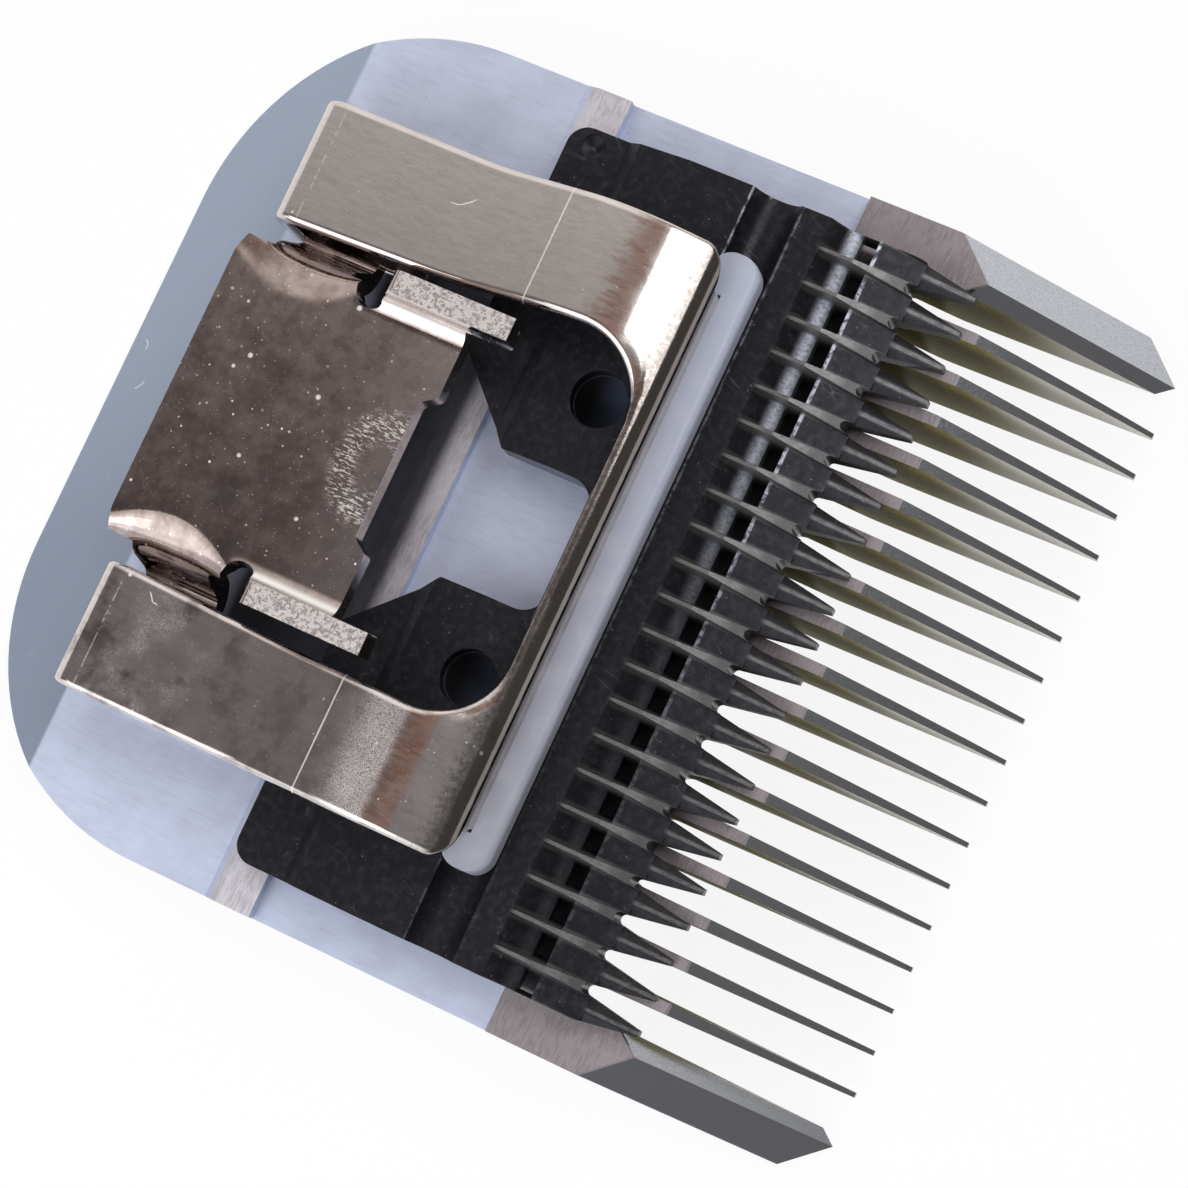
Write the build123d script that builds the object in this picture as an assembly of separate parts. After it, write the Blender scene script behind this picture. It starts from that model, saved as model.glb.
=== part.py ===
from build123d import *
import math
import os

# Detachable hair clipper blade with a long full-tooth comb. Sizes in millimetres.
# The pieces are drawn in the blade's own frame: X across the blade, +Y to the rear and Z up from the plane
# that the cutter runs on, with Y = 0 at the front edge of the comb's rear rail.
# lay_down() then rests the finished blade on its tooth heel and its rear edge.

# Comb plate
comb_width = 50.0
comb_rear = 21.85
comb_corner_radius = 14.0
plate_drop = 0.4
plate_thickness = 3.2
rear_bevel_length = 6.35
rear_edge_height = 1.0
rail_width = 2.1
rail_slope = 0.8
channel_depth = 0.8
land_rear = -14.7
land_length = 8.5

# Comb teeth and end bars
comb_tooth_count = 17
tooth_reach = 10.2
tooth_bulge = 0.3
tooth_root_width = 0.8
tooth_tip_width = 0.28
tooth_tip_height = 0.5
slot_setback = 5.7
skid_drop = 6.8
heel_setback = 2.2
heel_run = 9.0
heel_radius = 2.5
end_bar_width = 2.85
bar_shoulder = 3.0
bar_fall = 0.63
bar_roll = 0.70
bar_chamfer = 0.7
bar_chamfer_rise = 0.8

# Cutter
cutter_inset = 2.65
cutter_rear = 1.85
cutter_corner_radius = 1.2
cutter_tooth_overlap = 0.7
foot_height = 1.9
foot_length = 3.35
step_length = 0.8
step_height = 2.6
crown_height = 3.4
crown_start = -5.5
ridge_height = 3.2
ridge_start = -14.0
ridge_width = 0.2
ridge_foot_width = 0.75
slope_start = -16.0
cutter_tip_height = 0.75
foot_contact = 3.05
relief_height = 0.9
front_contact = 5.5
cutter_tooth_count = 22
cutter_tip_width = 0.35
gullet_depth = 3.6
gullet_root_gap = 0.6
window_setback = 1.7
window_length = 1.05
channel_floor = 1.7
web_height = 2.35
flare_start = -19.5
spine_width = 0.4
flare_depth = 0.7
notch_width = 7.74
notch_front = -8.6
notch_flare_start = -2.5
notch_corner_radius = 1.5
hole_radius = 1.6
hole_offset = 8.3
hole_setback = -6.5
hole_depth = 1.1
hole_cone = 0.5
dimple_radius = 0.7
dimple_depth = 0.4
dimple_inset = 0.95
dimple_setback = 1.55

# Guide bar in the cutter's groove
groove_center = -10.85
groove_radius = 1.5
groove_depth = 1.1
guide_clearance = 0.08
guide_overhang = 0.2
guide_shift = 0.25
guide_height = 1.3
guide_end_radius = 1.2
guide_edge_radius = 0.5
lip_clearance = 0.05
lip_seat = 0.5

# Tension spring
spring_sheet = 0.9
spring_width = 35.6
spring_rear = 14.65
leg_width = 7.5
leg_taper = 0.9
leaf_height = 5.5
leaf_bend = 3.2
hump_height = 8.7
hump_setback = -5.0
shoulder_height = 7.1
lip_front = -10.7
lip_inset = 2.0
crossbar_width = 1.3
window_radius = 4.2
front_corner_radius = 1.6
foot_front = 6.1
fold_radius = 1.3
foot_fold_radius = 0.85
leaf_bend_radius = 9.0
hump_radius = 8.0
lip_bend_radius = 0.9

# Socket for the clipper's hinge tongue
socket_sheet = 1.3
arch_width = 17.2
arch_height = 5.6
arch_rear = 15.3
arch_front = 1.0
arch_bend_radius = 1.4
wall_lean = 1.0
wall_rear = 13.8
wall_front = 8.7
flange_margin = 1.4
flange_rear = 13.2
ear_rear = 5.4
ear_front = -1.9
ear_height = 8.3
ear_offset = 9.2
ear_bend_radius = 1.75
ear_lift = 0.2
relief_radius = 0.85
relief_setback = 7.0
mouth_width = 9.6
mouth_depth = 0.9
mouth_taper = 0.9
arch_corner_radius = 0.5

# Socket screws
screw_diameter = 3.0
screw_head_diameter = 5.6
screw_setback = 10.95
screw_recess = 0.15
screw_rim = 0.2
screw_slot_width = 0.8
screw_slot_depth = 0.7
screw_clearance = 0.1
screw_stand_out = 0.4

# Sizes that follow from the ones above
land_front = land_rear - land_length
comb_tip = land_front - tooth_reach
comb_half = comb_width / 2
plate_under = -plate_drop - plate_thickness
comb_pitch = (comb_width - 2 * end_bar_width + tooth_tip_width) / (comb_tooth_count + 1)
slot_rear = land_front + slot_setback
heel = land_front + heel_setback
cutter_half = comb_half - cutter_inset
cutter_tip = land_front + cutter_tooth_overlap
cutter_pitch = (2 * cutter_half + gullet_root_gap) / cutter_tooth_count
gullet_root = cutter_tip + gullet_depth
window_rear = ridge_start - window_setback
window_front = window_rear - window_length
web_fall = (web_height - cutter_tip_height) / (window_front - cutter_tip)
groove_z = crown_height - groove_depth + groove_radius
guide_radius = groove_radius - guide_clearance
spring_half = spring_width / 2
foot_top = -plate_drop + spring_sheet
lip_middle = lip_front + spring_sheet / 2
flange_middle = foot_top + socket_sheet / 2
arch_middle = arch_height - socket_sheet / 2
screw_offset = spring_half - leg_width / 2 - 0.6
screw_top = foot_top + socket_sheet + screw_stand_out
head_floor = plate_under + screw_recess
far = 100.0


def across(profile, half_width):
    """A solid drawn as a side profile and run across the blade, both ways from the middle."""
    return extrude(Plane.YZ * profile, amount=half_width, both=True)


def through(plan):
    """A plan outline run right through the blade from below to above."""
    return extrude(Plane.XY.offset(-far / 2) * plan, amount=far)


def comb_profile():
    """Side view of the comb: bevel, plate, rail, channel, land, tooth crest, skid and heel."""
    chord_mid = ((land_front + comb_tip) / 2, (tooth_tip_height - skid_drop) / 2 + tooth_bulge)
    top = Polyline(
        (comb_rear, plate_under + rear_edge_height),
        (comb_rear - rear_bevel_length, -plate_drop),
        (rail_width + rail_slope, -plate_drop),
        (rail_width, 0),
        (0, 0),
        (0, -channel_depth),
        (land_rear, -channel_depth),
        (land_rear, 0),
        (land_front, 0),
    )
    crest = ThreePointArc((land_front, 0), chord_mid, (comb_tip, tooth_tip_height - skid_drop))
    nose = Line((comb_tip, tooth_tip_height - skid_drop), (comb_tip, -skid_drop))
    sole = FilletPolyline(
        (comb_tip, -skid_drop),
        (heel, -skid_drop),
        (heel + heel_run, plate_under),
        (comb_rear, plate_under),
        radius=heel_radius,
    )
    back = Line((comb_rear, plate_under), (comb_rear, plate_under + rear_edge_height))
    return make_face([top, crest, nose, sole, back])


def comb_slot():
    """Plan of one gap between comb teeth: round at the root, wider towards the tips."""
    root = (comb_pitch - tooth_root_width) / 2
    tip = (comb_pitch - tooth_tip_width) / 2
    start = slot_rear - root
    wedge = Polygon((-root, start), (-tip, comb_tip), (tip, comb_tip), (root, start), align=None)
    mouth = Pos(0, comb_tip - 1) * Rectangle(2 * tip, 2)
    return wedge + mouth + Pos(0, start) * Circle(root)


def end_bar_roof():
    """The wedge ground off above one end bar: an outer facet, a ridge and a narrow inner chamfer."""
    start = land_rear
    edge_z = bar_fall * (start - land_front - bar_shoulder)
    ridge = comb_half - end_bar_width + bar_chamfer
    ridge_z = edge_z + bar_roll * (comb_half - ridge)
    inner = comb_pitch * comb_tooth_count / 2
    inner_z = ridge_z - bar_chamfer_rise * (ridge - inner)
    section = Polygon(
        (inner, far / 2),
        (inner, inner_z),
        (ridge, ridge_z),
        (comb_half + 1, edge_z - bar_roll),
        (comb_half + 1, far / 2),
        align=None,
    )
    run = start - comb_tip + 2
    slant = Vector(0, -1, -bar_fall)
    return extrude(Plane.XZ.offset(-start) * section, amount=run * slant.length, dir=slant)


def screw_form(gap, bottom, top):
    """A countersunk screw's outline turned about its own axis, grown by a gap for its hole."""
    head = screw_head_diameter / 2 + gap
    shank = screw_diameter / 2 + gap
    outline = Polyline(
        (0, bottom),
        (head, bottom),
        (head, head_floor + screw_rim),
        (shank, head_floor + screw_rim + head - shank),
        (shank, top),
        (0, top),
        close=True,
    )
    return revolve(Plane.XZ * make_face(outline), Axis.Z)


def screw_places():
    """Where the two socket screws stand."""
    return [Pos(side * screw_offset, screw_setback) for side in (-1, 1)]


def make_comb():
    """The lower blade."""
    outline = Pos(0, (comb_rear + comb_tip) / 2) * Rectangle(comb_width, comb_rear - comb_tip)
    outline = fillet(outline.vertices().group_by(Axis.Y)[-1], comb_corner_radius)
    body = across(comb_profile(), comb_half) & through(outline)
    middle = comb_tooth_count / 2
    slots = Sketch() + [Pos((i - middle) * comb_pitch, 0) * comb_slot() for i in range(comb_tooth_count + 1)]
    body -= through(slots)
    roof = end_bar_roof()
    body -= roof
    body -= mirror(roof, Plane.YZ)
    for place in screw_places():
        body -= place * screw_form(screw_clearance, plate_under - 1, 1)
    return body


def cutter_profile():
    """Side view of the cutter: foot, step, crown, tooth slope and hollow underside."""
    foot_front_edge = cutter_rear - foot_length
    outline = Polyline(
        (cutter_rear, 0),
        (cutter_rear, foot_height),
        (foot_front_edge, foot_height),
        (foot_front_edge - step_length, step_height),
        (crown_start, crown_height),
        (groove_center, crown_height),
        (groove_center - groove_radius, ridge_height),
        (slope_start, ridge_height),
        (cutter_tip, cutter_tip_height),
        (cutter_tip, 0),
        (cutter_tip + front_contact, 0),
        (cutter_tip + front_contact + relief_height / 2, relief_height),
        (cutter_rear - foot_contact - relief_height / 2, relief_height),
        (cutter_rear - foot_contact, 0),
        close=True,
    )
    return make_face(outline)


def tooth_channel():
    """The ground channel above one cutter tooth: leaning sides, and a slot that breaks through behind the web."""
    entry = ThreePointArc(
        (ridge_start, ridge_height),
        (ridge_start - 0.6 * window_setback, (ridge_height + channel_floor) / 2 - 0.3),
        (window_rear, channel_floor),
    )
    floor = Polyline(
        (window_rear, channel_floor),
        (window_rear, relief_height / 2),
        (window_front, relief_height / 2),
        (window_front, web_height),
        (cutter_tip - 1, cutter_tip_height - web_fall),
        (cutter_tip - 1, ridge_height + 1),
        (ridge_start, ridge_height + 1),
        (ridge_start, ridge_height),
    )
    draft = (ridge_foot_width - ridge_width) / 2 / (ridge_height - channel_floor)
    low = relief_height / 2
    high = ridge_height + 1
    low_half = (cutter_pitch - ridge_foot_width) / 2 - draft * (channel_floor - low)
    high_half = (cutter_pitch - ridge_width) / 2 + draft * (high - ridge_height)
    section = Polygon((-low_half, low), (low_half, low), (high_half, high), (-high_half, high), align=None)
    wheel = extrude(Plane.XZ * section, amount=far, both=True)
    return across(make_face([entry, floor]), cutter_pitch / 2) & wheel


def gullet():
    """Plan of one gap between cutter teeth."""
    root = gullet_root_gap / 2
    tip = (cutter_pitch - cutter_tip_width) / 2
    start = gullet_root - root
    wedge = Polygon((-root, start), (-tip, cutter_tip), (tip, cutter_tip), (root, start), align=None)
    mouth = Pos(0, cutter_tip - 1) * Rectangle(2 * tip, 2)
    return wedge + mouth + Pos(0, start) * Circle(root)


def tooth_flare():
    """The V ground along one gullet that leaves each cutter tooth with a narrow spine and two facets."""
    half = (cutter_pitch - spine_width) / 2
    crest = web_height - web_fall * (window_front - flare_start)
    section = Polygon(
        (-half, crest + 2),
        (-half, crest),
        (0, crest - flare_depth),
        (half, crest),
        (half, crest + 2),
        align=None,
    )
    slant = Vector(0, -1, -web_fall)
    run = (flare_start - cutter_tip + 1) * slant.length
    return extrude(Plane.XZ.offset(-flare_start) * section, amount=run, dir=slant)


def blind_hole(radius, depth, cone):
    """A drilled blind hole with a coned floor, hanging down from Z = 0."""
    outline = Polyline((0, 1), (radius, 1), (radius, -depth), (0, -depth - cone), close=True)
    return revolve(Plane.XZ * make_face(outline), Axis.Z)


def make_cutter():
    """The upper blade that slides across the comb."""
    outline = Pos(0, (cutter_rear + cutter_tip) / 2) * Rectangle(2 * cutter_half, cutter_rear - cutter_tip)
    outline = fillet(outline.vertices().group_by(Axis.Y)[-1], cutter_corner_radius)
    body = across(cutter_profile(), cutter_half) & through(outline)
    groove = Pos(groove_center, groove_z) * Circle(groove_radius)
    body -= across(groove, comb_half)
    flare_half = notch_width / 2 + cutter_rear - notch_flare_start
    notch = Polygon(
        (-notch_width / 2, notch_front),
        (notch_width / 2, notch_front),
        (notch_width / 2, notch_flare_start),
        (flare_half + 1, cutter_rear + 1),
        (-flare_half - 1, cutter_rear + 1),
        (-notch_width / 2, notch_flare_start),
        align=None,
    )
    notch = fillet(notch.vertices().group_by(Axis.Y)[0], notch_corner_radius)
    body -= through(notch)
    middle = (cutter_tooth_count - 1) / 2
    channel = tooth_channel()
    body -= [Pos((i - middle) * cutter_pitch, 0, 0) * channel for i in range(cutter_tooth_count)]
    gaps = [(i - cutter_tooth_count / 2) * cutter_pitch for i in range(cutter_tooth_count + 1)]
    body -= through(Sketch() + [Pos(x, 0) * gullet() for x in gaps])
    flare = tooth_flare()
    body -= [Pos(x, 0, 0) * flare for x in gaps]
    hole = blind_hole(hole_radius, hole_depth, hole_cone)
    for side in (-1, 1):
        body -= Pos(side * hole_offset, hole_setback, crown_height) * hole
    dimple = blind_hole(dimple_radius, 0.1, dimple_depth)
    body -= Pos(cutter_half - dimple_inset, cutter_rear - dimple_setback, foot_height) * dimple
    return body


def make_blade_guide():
    """The nylon bar that lies in the cutter's groove, with a pocket along its top for the spring's lip."""
    upright = Pos(groove_center, groove_z + guide_height / 2) * Rectangle(2 * guide_radius, guide_height)
    upright = fillet(upright.vertices().group_by(Axis.Y)[-1], guide_edge_radius)
    section = upright + Pos(groove_center, groove_z) * Circle(guide_radius)
    half = spring_half + guide_overhang
    plan = Pos(guide_shift, groove_center) * RectangleRounded(2 * half, 2 * guide_radius, guide_end_radius)
    slot = Pos(lip_middle, groove_z + lip_seat + far / 2) * Rectangle(spring_sheet + 2 * lip_clearance, far)
    return (across(section, comb_half) & through(plan)) - across(slot, spring_half - lip_inset + guide_clearance)


def spring_path():
    """Middle line of the spring's sheet from foot to lip, seen from the side."""
    foot_z = -plate_drop + spring_sheet / 2
    leaf_z = leaf_height - spring_sheet / 2
    back = spring_rear - spring_sheet / 2
    return FilletPolyline(
        (foot_front, foot_z),
        (back, foot_z),
        (back, leaf_z),
        (leaf_bend, leaf_z),
        (hump_setback, hump_height),
        (lip_middle, shoulder_height),
        (lip_middle, groove_z + lip_seat),
        radius=(foot_fold_radius, fold_radius, leaf_bend_radius, hump_radius, lip_bend_radius),
    )


def make_tension_spring():
    """Two legs, a crossbar with a turned-down lip and a folded foot under each leg."""
    sheet = across(trace(spring_path(), spring_sheet), spring_half)
    rear_inner = spring_half - leg_width
    front_inner = rear_inner + leg_taper
    bar_rear = lip_front + crossbar_width
    length = spring_rear - lip_front + 1
    blank = Pos(0, lip_front + length / 2) * Rectangle(spring_width, length)
    blank = fillet(blank.vertices().group_by(Axis.Y)[0], front_corner_radius)
    window = Polygon(
        (-front_inner, bar_rear),
        (front_inner, bar_rear),
        (rear_inner, spring_rear + 2),
        (-rear_inner, spring_rear + 2),
        align=None,
    )
    window = fillet(window.vertices().group_by(Axis.Y)[0], window_radius)
    body = sheet & through(blank - window)
    trim = Box(lip_inset, far, shoulder_height, align=(Align.MIN, Align.MAX, Align.MAX))
    trim = Pos(spring_half - lip_inset, lip_front + spring_sheet, shoulder_height - 1) * trim
    body -= trim
    body -= mirror(trim, Plane.YZ)
    for place in screw_places():
        body -= place * Cylinder(screw_diameter / 2 + screw_clearance, 2 * leaf_bend)
    return body


def make_socket():
    """Arched plate with two flanges, two relief notches and two upturned ears, bent from one sheet."""
    reach = spring_half - flange_margin
    crown = arch_width / 2
    arch_path = FilletPolyline(
        (-reach, flange_middle),
        (-crown - wall_lean, flange_middle),
        (-crown, arch_middle),
        (crown, arch_middle),
        (crown + wall_lean, flange_middle),
        (reach, flange_middle),
        radius=arch_bend_radius,
    )
    arch = extrude(Plane.XZ.offset(-wall_rear) * trace(arch_path, socket_sheet), amount=wall_rear - wall_front)
    plate_plan = Pos(0, (arch_rear + arch_front) / 2) * Rectangle(arch_width, arch_rear - arch_front)
    plate_plan = fillet(plate_plan.vertices().group_by(Axis.Y)[-1], arch_corner_radius)
    arch_region = Pos(0, (wall_rear + wall_front) / 2) * Rectangle(2 * arch_width, wall_rear - wall_front)
    bend_start = crown - arch_bend_radius
    core = Pos(0, (wall_rear + wall_front) / 2) * Rectangle(2 * bend_start, wall_rear - wall_front)
    ear_start = ear_offset - ear_bend_radius
    ear_region = Pos(0, ear_rear - far / 2) * (Rectangle(2 * arch_width, far) - Rectangle(2 * ear_start, far))
    plate_plan = plate_plan - arch_region - ear_region + core
    plate = extrude(Plane.XY.offset(arch_height - socket_sheet) * plate_plan, amount=socket_sheet)
    ear_path = FilletPolyline(
        (bend_start - 1, arch_middle),
        (ear_offset, arch_middle),
        (ear_offset, ear_height),
        radius=ear_bend_radius,
    )
    ear = extrude(Plane.XZ.offset(-ear_rear) * trace(ear_path, socket_sheet), amount=ear_rear - ear_front)
    trim = Box(ear_offset - socket_sheet / 2, far, far, align=(Align.MIN, Align.MAX, Align.CENTER))
    ear -= Pos(0, arch_front, 0) * trim
    under = Box(far, far, far, align=(Align.CENTER, Align.MAX, Align.MAX))
    ear -= Pos(0, arch_front, arch_height - ear_lift) * under
    body = arch + plate + ear + mirror(ear, Plane.YZ)
    mouth = Polygon(
        (-mouth_width / 2, arch_front - 1),
        (mouth_width / 2, arch_front - 1),
        (mouth_width / 2, arch_front),
        (mouth_width / 2 - mouth_taper, arch_front + mouth_depth),
        (-mouth_width / 2 + mouth_taper, arch_front + mouth_depth),
        (-mouth_width / 2, arch_front),
        align=None,
    )
    body -= through(mouth)
    flange_trim = Box(far, far, 2 * (arch_middle - arch_bend_radius), align=(Align.MIN, Align.MIN, Align.CENTER))
    flange_trim = Pos(spring_half - leg_width - 0.1, flange_rear, 0) * flange_trim
    body -= flange_trim
    body -= mirror(flange_trim, Plane.YZ)
    for side in (-1, 1):
        body -= Pos(side * crown, relief_setback, arch_middle) * Cylinder(relief_radius, 2 * socket_sheet)
    for place in screw_places():
        body -= place * Cylinder(screw_diameter / 2 + screw_clearance, 2 * screw_top + 1)
    return body


def make_socket_screws():
    """Two slotted countersunk screws that hold spring and socket to the comb from below."""
    slot = Pos(0, 0, head_floor) * Box(screw_head_diameter + 1, screw_slot_width, 2 * screw_slot_depth)
    screw = screw_form(0, head_floor, screw_top) - slot
    return Part() + [place * screw for place in screw_places()]


def lay_down(comb):
    """The move that rests the blade on heel and rear edge, centred over the origin."""
    tilt = math.degrees(math.atan2(skid_drop + plate_under, comb_rear - heel))
    turned = Rot(-tilt, 0, 0) * comb
    box = turned.bounding_box()
    return Pos(0, -(box.min.Y + box.max.Y) / 2, -box.min.Z) * Rot(-tilt, 0, 0)


pieces = {
    "comb": make_comb(),
    "cutter": make_cutter(),
    "blade_guide": make_blade_guide(),
    "tension_spring": make_tension_spring(),
    "socket": make_socket(),
    "socket_screws": make_socket_screws(),
}
seat = lay_down(pieces["comb"])
os.makedirs("parts", exist_ok=True)
for name, piece in pieces.items():
    export_step(seat * piece, f"parts/{name}.step")
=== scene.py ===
import logging
import math
from abc import ABC, abstractmethod
from dataclasses import dataclass, field
from enum import Enum
from typing import Optional, Sequence, Union

import bpy
import numpy as np
from bpy.types import ID, Material, Node, NodeSocket, NodeTree, Object
from mathutils import Euler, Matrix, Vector


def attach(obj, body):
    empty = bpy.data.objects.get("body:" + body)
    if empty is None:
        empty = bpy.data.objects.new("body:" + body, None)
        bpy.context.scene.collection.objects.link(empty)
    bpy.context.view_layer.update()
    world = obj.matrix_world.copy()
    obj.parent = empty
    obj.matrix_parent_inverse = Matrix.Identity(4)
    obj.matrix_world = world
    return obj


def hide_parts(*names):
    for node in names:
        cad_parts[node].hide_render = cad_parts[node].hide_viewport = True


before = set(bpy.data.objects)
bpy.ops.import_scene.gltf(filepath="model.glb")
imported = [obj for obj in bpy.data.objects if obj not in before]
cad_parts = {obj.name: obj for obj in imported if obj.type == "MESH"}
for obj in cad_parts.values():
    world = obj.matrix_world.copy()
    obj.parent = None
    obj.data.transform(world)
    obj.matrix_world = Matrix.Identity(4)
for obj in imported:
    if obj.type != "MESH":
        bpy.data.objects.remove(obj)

LOG = logging.getLogger("clipper_blade")
MM = 0.001
Color = tuple[float, float, float]
Point = tuple[float, float, float]
Span = tuple[float, float]
Value = Union[float, Sequence[float], "Wire"]


class Side(Enum):
    """The two faces of a sheet."""

    UPPER = 1
    LOWER = -1


class Body(Enum):
    """The rigid bodies that pieces ride on."""

    FIXED = "fixed_set"
    MOVING = "moving_blade"


@dataclass(frozen=True)
class BladeFrame:
    """The blade's own frame, in which its sizes are given, and how the blade lies in the row frame.

    X runs across the blade, +Y to its rear, and Z up from the plane that the cutter runs on.
    """

    heel: float = -21.0
    rear: float = 21.85
    skid_drop: float = 6.8
    under: float = -3.6
    tip: float = -33.4
    edge_height: float = 1.0

    @property
    def tilt(self) -> float:
        """Angle, in radians, by which the blade leans back on heel and rear edge."""
        return math.atan2(self.skid_drop + self.under, self.rear - self.heel)

    @property
    def shift(self) -> Span:
        """Move along Y and Z, in millimetres, that centres the leaning blade on the floor."""
        cos, sin = math.cos(self.tilt), math.sin(self.tilt)
        back = max(self.rear * cos + z * sin for z in (self.under, self.under + self.edge_height))
        front = self.tip * cos - self.skid_drop * sin
        return -(back + front) / 2, self.rear * sin - self.under * cos

    def place(self, points: np.ndarray) -> np.ndarray:
        """Carry blade-frame millimetres to row-frame metres.

        Args:
            points: Array of points, three numbers each.

        Returns:
            Array of the same shape.
        """
        cos, sin = math.cos(self.tilt), math.sin(self.tilt)
        y, z = points[..., 1], points[..., 2]
        moved = (points[..., 0], y * cos + z * sin + self.shift[0], z * cos - y * sin + self.shift[1])
        return np.stack(moved, -1) * MM

    def mapping(self) -> tuple[Vector, Euler, Vector]:
        """Location, rotation and scale of a Mapping node that turns Object coordinates into blade millimetres."""
        cos, sin = math.cos(self.tilt), math.sin(self.tilt)
        y, z = self.shift
        return Vector((0, -(y * cos - z * sin), -(y * sin + z * cos))), Euler((self.tilt, 0, 0)), Vector((1 / MM,) * 3)


BLADE = BladeFrame()


@dataclass(frozen=True)
class Wire:
    """A node's output. Arithmetic on it adds Math nodes, and | is the larger of two values."""

    graph: "Graph"
    socket: NodeSocket

    def __add__(self, other: Value) -> "Wire":
        """Sum."""
        return self.graph.math("ADD", self, other)

    def __sub__(self, other: Value) -> "Wire":
        """Difference."""
        return self.graph.math("SUBTRACT", self, other)

    def __rsub__(self, other: Value) -> "Wire":
        """Difference from a number."""
        return self.graph.math("SUBTRACT", other, self)

    def __mul__(self, other: Value) -> "Wire":
        """Product."""
        return self.graph.math("MULTIPLY", self, other)

    def __truediv__(self, other: Value) -> "Wire":
        """Quotient."""
        return self.graph.math("DIVIDE", self, other)

    def __or__(self, other: Value) -> "Wire":
        """The larger of two values."""
        return self.graph.math("MAXIMUM", self, other)

    def __abs__(self) -> "Wire":
        """Size without sign."""
        return self.graph.math("ABSOLUTE", self)


class Graph:
    """Adds and links shader nodes in one node tree."""

    def __init__(self, tree: NodeTree) -> None:
        """Keep the tree that nodes go into."""
        self.tree = tree

    def add(self, kind: str, inputs: Optional[dict[Union[int, str], Value]] = None, **settings: object) -> Node:
        """Add a node, set its attributes and feed its inputs.

        Args:
            kind: Blender's node type name.
            inputs: Values or wires by the input's name or number.
            settings: Attribute names and values.

        Returns:
            The new node.
        """
        node = self.tree.nodes.new(kind)
        for name, value in settings.items():
            setattr(node, name, value)
        for name, value in (inputs or {}).items():
            self.feed(node.inputs[name], value)
        return node

    def out(self, node: Node, name: Union[int, str] = 0) -> Wire:
        """One output of a node."""
        return Wire(self, node.outputs[name])

    def feed(self, into: NodeSocket, value: Value) -> None:
        """Link a wire into an input, or set the input's own value."""
        if isinstance(value, Wire):
            self.tree.links.new(value.socket, into)
        else:
            into.default_value = value

    def math(self, operation: str, a: Value, b: Value = 0.0, clamp: bool = False) -> Wire:
        """One step of arithmetic on two values."""
        return self.out(self.add("ShaderNodeMath", {0: a, 1: b}, operation=operation, use_clamp=clamp))

    def vector(self, operation: str, a: Value, b: Value = (0.0, 0.0, 0.0), output: str = "Vector") -> Wire:
        """One step of arithmetic on two vectors, whose result is a vector or, as output "Value", a number."""
        return self.out(self.add("ShaderNodeVectorMath", {0: a, 1: b}, operation=operation), output)

    def ramp(self, value: Value, low: Value, high: Value, start: float = 0.0, end: float = 1.0) -> Wire:
        """Smooth step of a value between two limits, from start to end."""
        inputs = dict(enumerate((value, low, high, start, end)))
        return self.out(self.add("ShaderNodeMapRange", inputs, interpolation_type="SMOOTHSTEP"))

    def blend(self, factor: Value, a: Value, b: Value) -> Wire:
        """Mix two colours by a factor."""
        a, b = (color if isinstance(color, Wire) else (*color, 1.0) for color in (a, b))
        return self.out(self.add("ShaderNodeMix", {0: factor, 6: a, 7: b}, data_type="RGBA"), 2)

    def layers(self, base: Value, *coats: tuple[Wire, Value]) -> Wire:
        """Lay coats over a base colour, one after the other.

        Args:
            base: The lowest colour.
            coats: Masks with the colours that they let through.

        Returns:
            The colour on top.
        """
        for mask, color in coats:
            base = self.blend(mask, base, color)
        return base

    def split(self, vector: Wire) -> tuple[Wire, ...]:
        """The X, Y and Z of a vector."""
        node = self.add("ShaderNodeSeparateXYZ", {0: vector})
        return tuple(self.out(node, axis) for axis in range(3))

    def noise(self, vector: Value, scale: Value, detail: float = 3.0, rough: float = 0.5) -> Wire:
        """Soft noise between 0 and 1."""
        inputs = {"Vector": vector, "Scale": scale, "Detail": detail, "Roughness": rough}
        return self.out(self.add("ShaderNodeTexNoise", inputs))

    def use(self, group: NodeTree, **inputs: Value) -> Wire:
        """Place a shader node group.

        Args:
            group: The group's tree.
            inputs: Values or wires by input name.

        Returns:
            The group's output.
        """
        return self.out(self.add("ShaderNodeGroup", inputs, node_tree=group))


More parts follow.
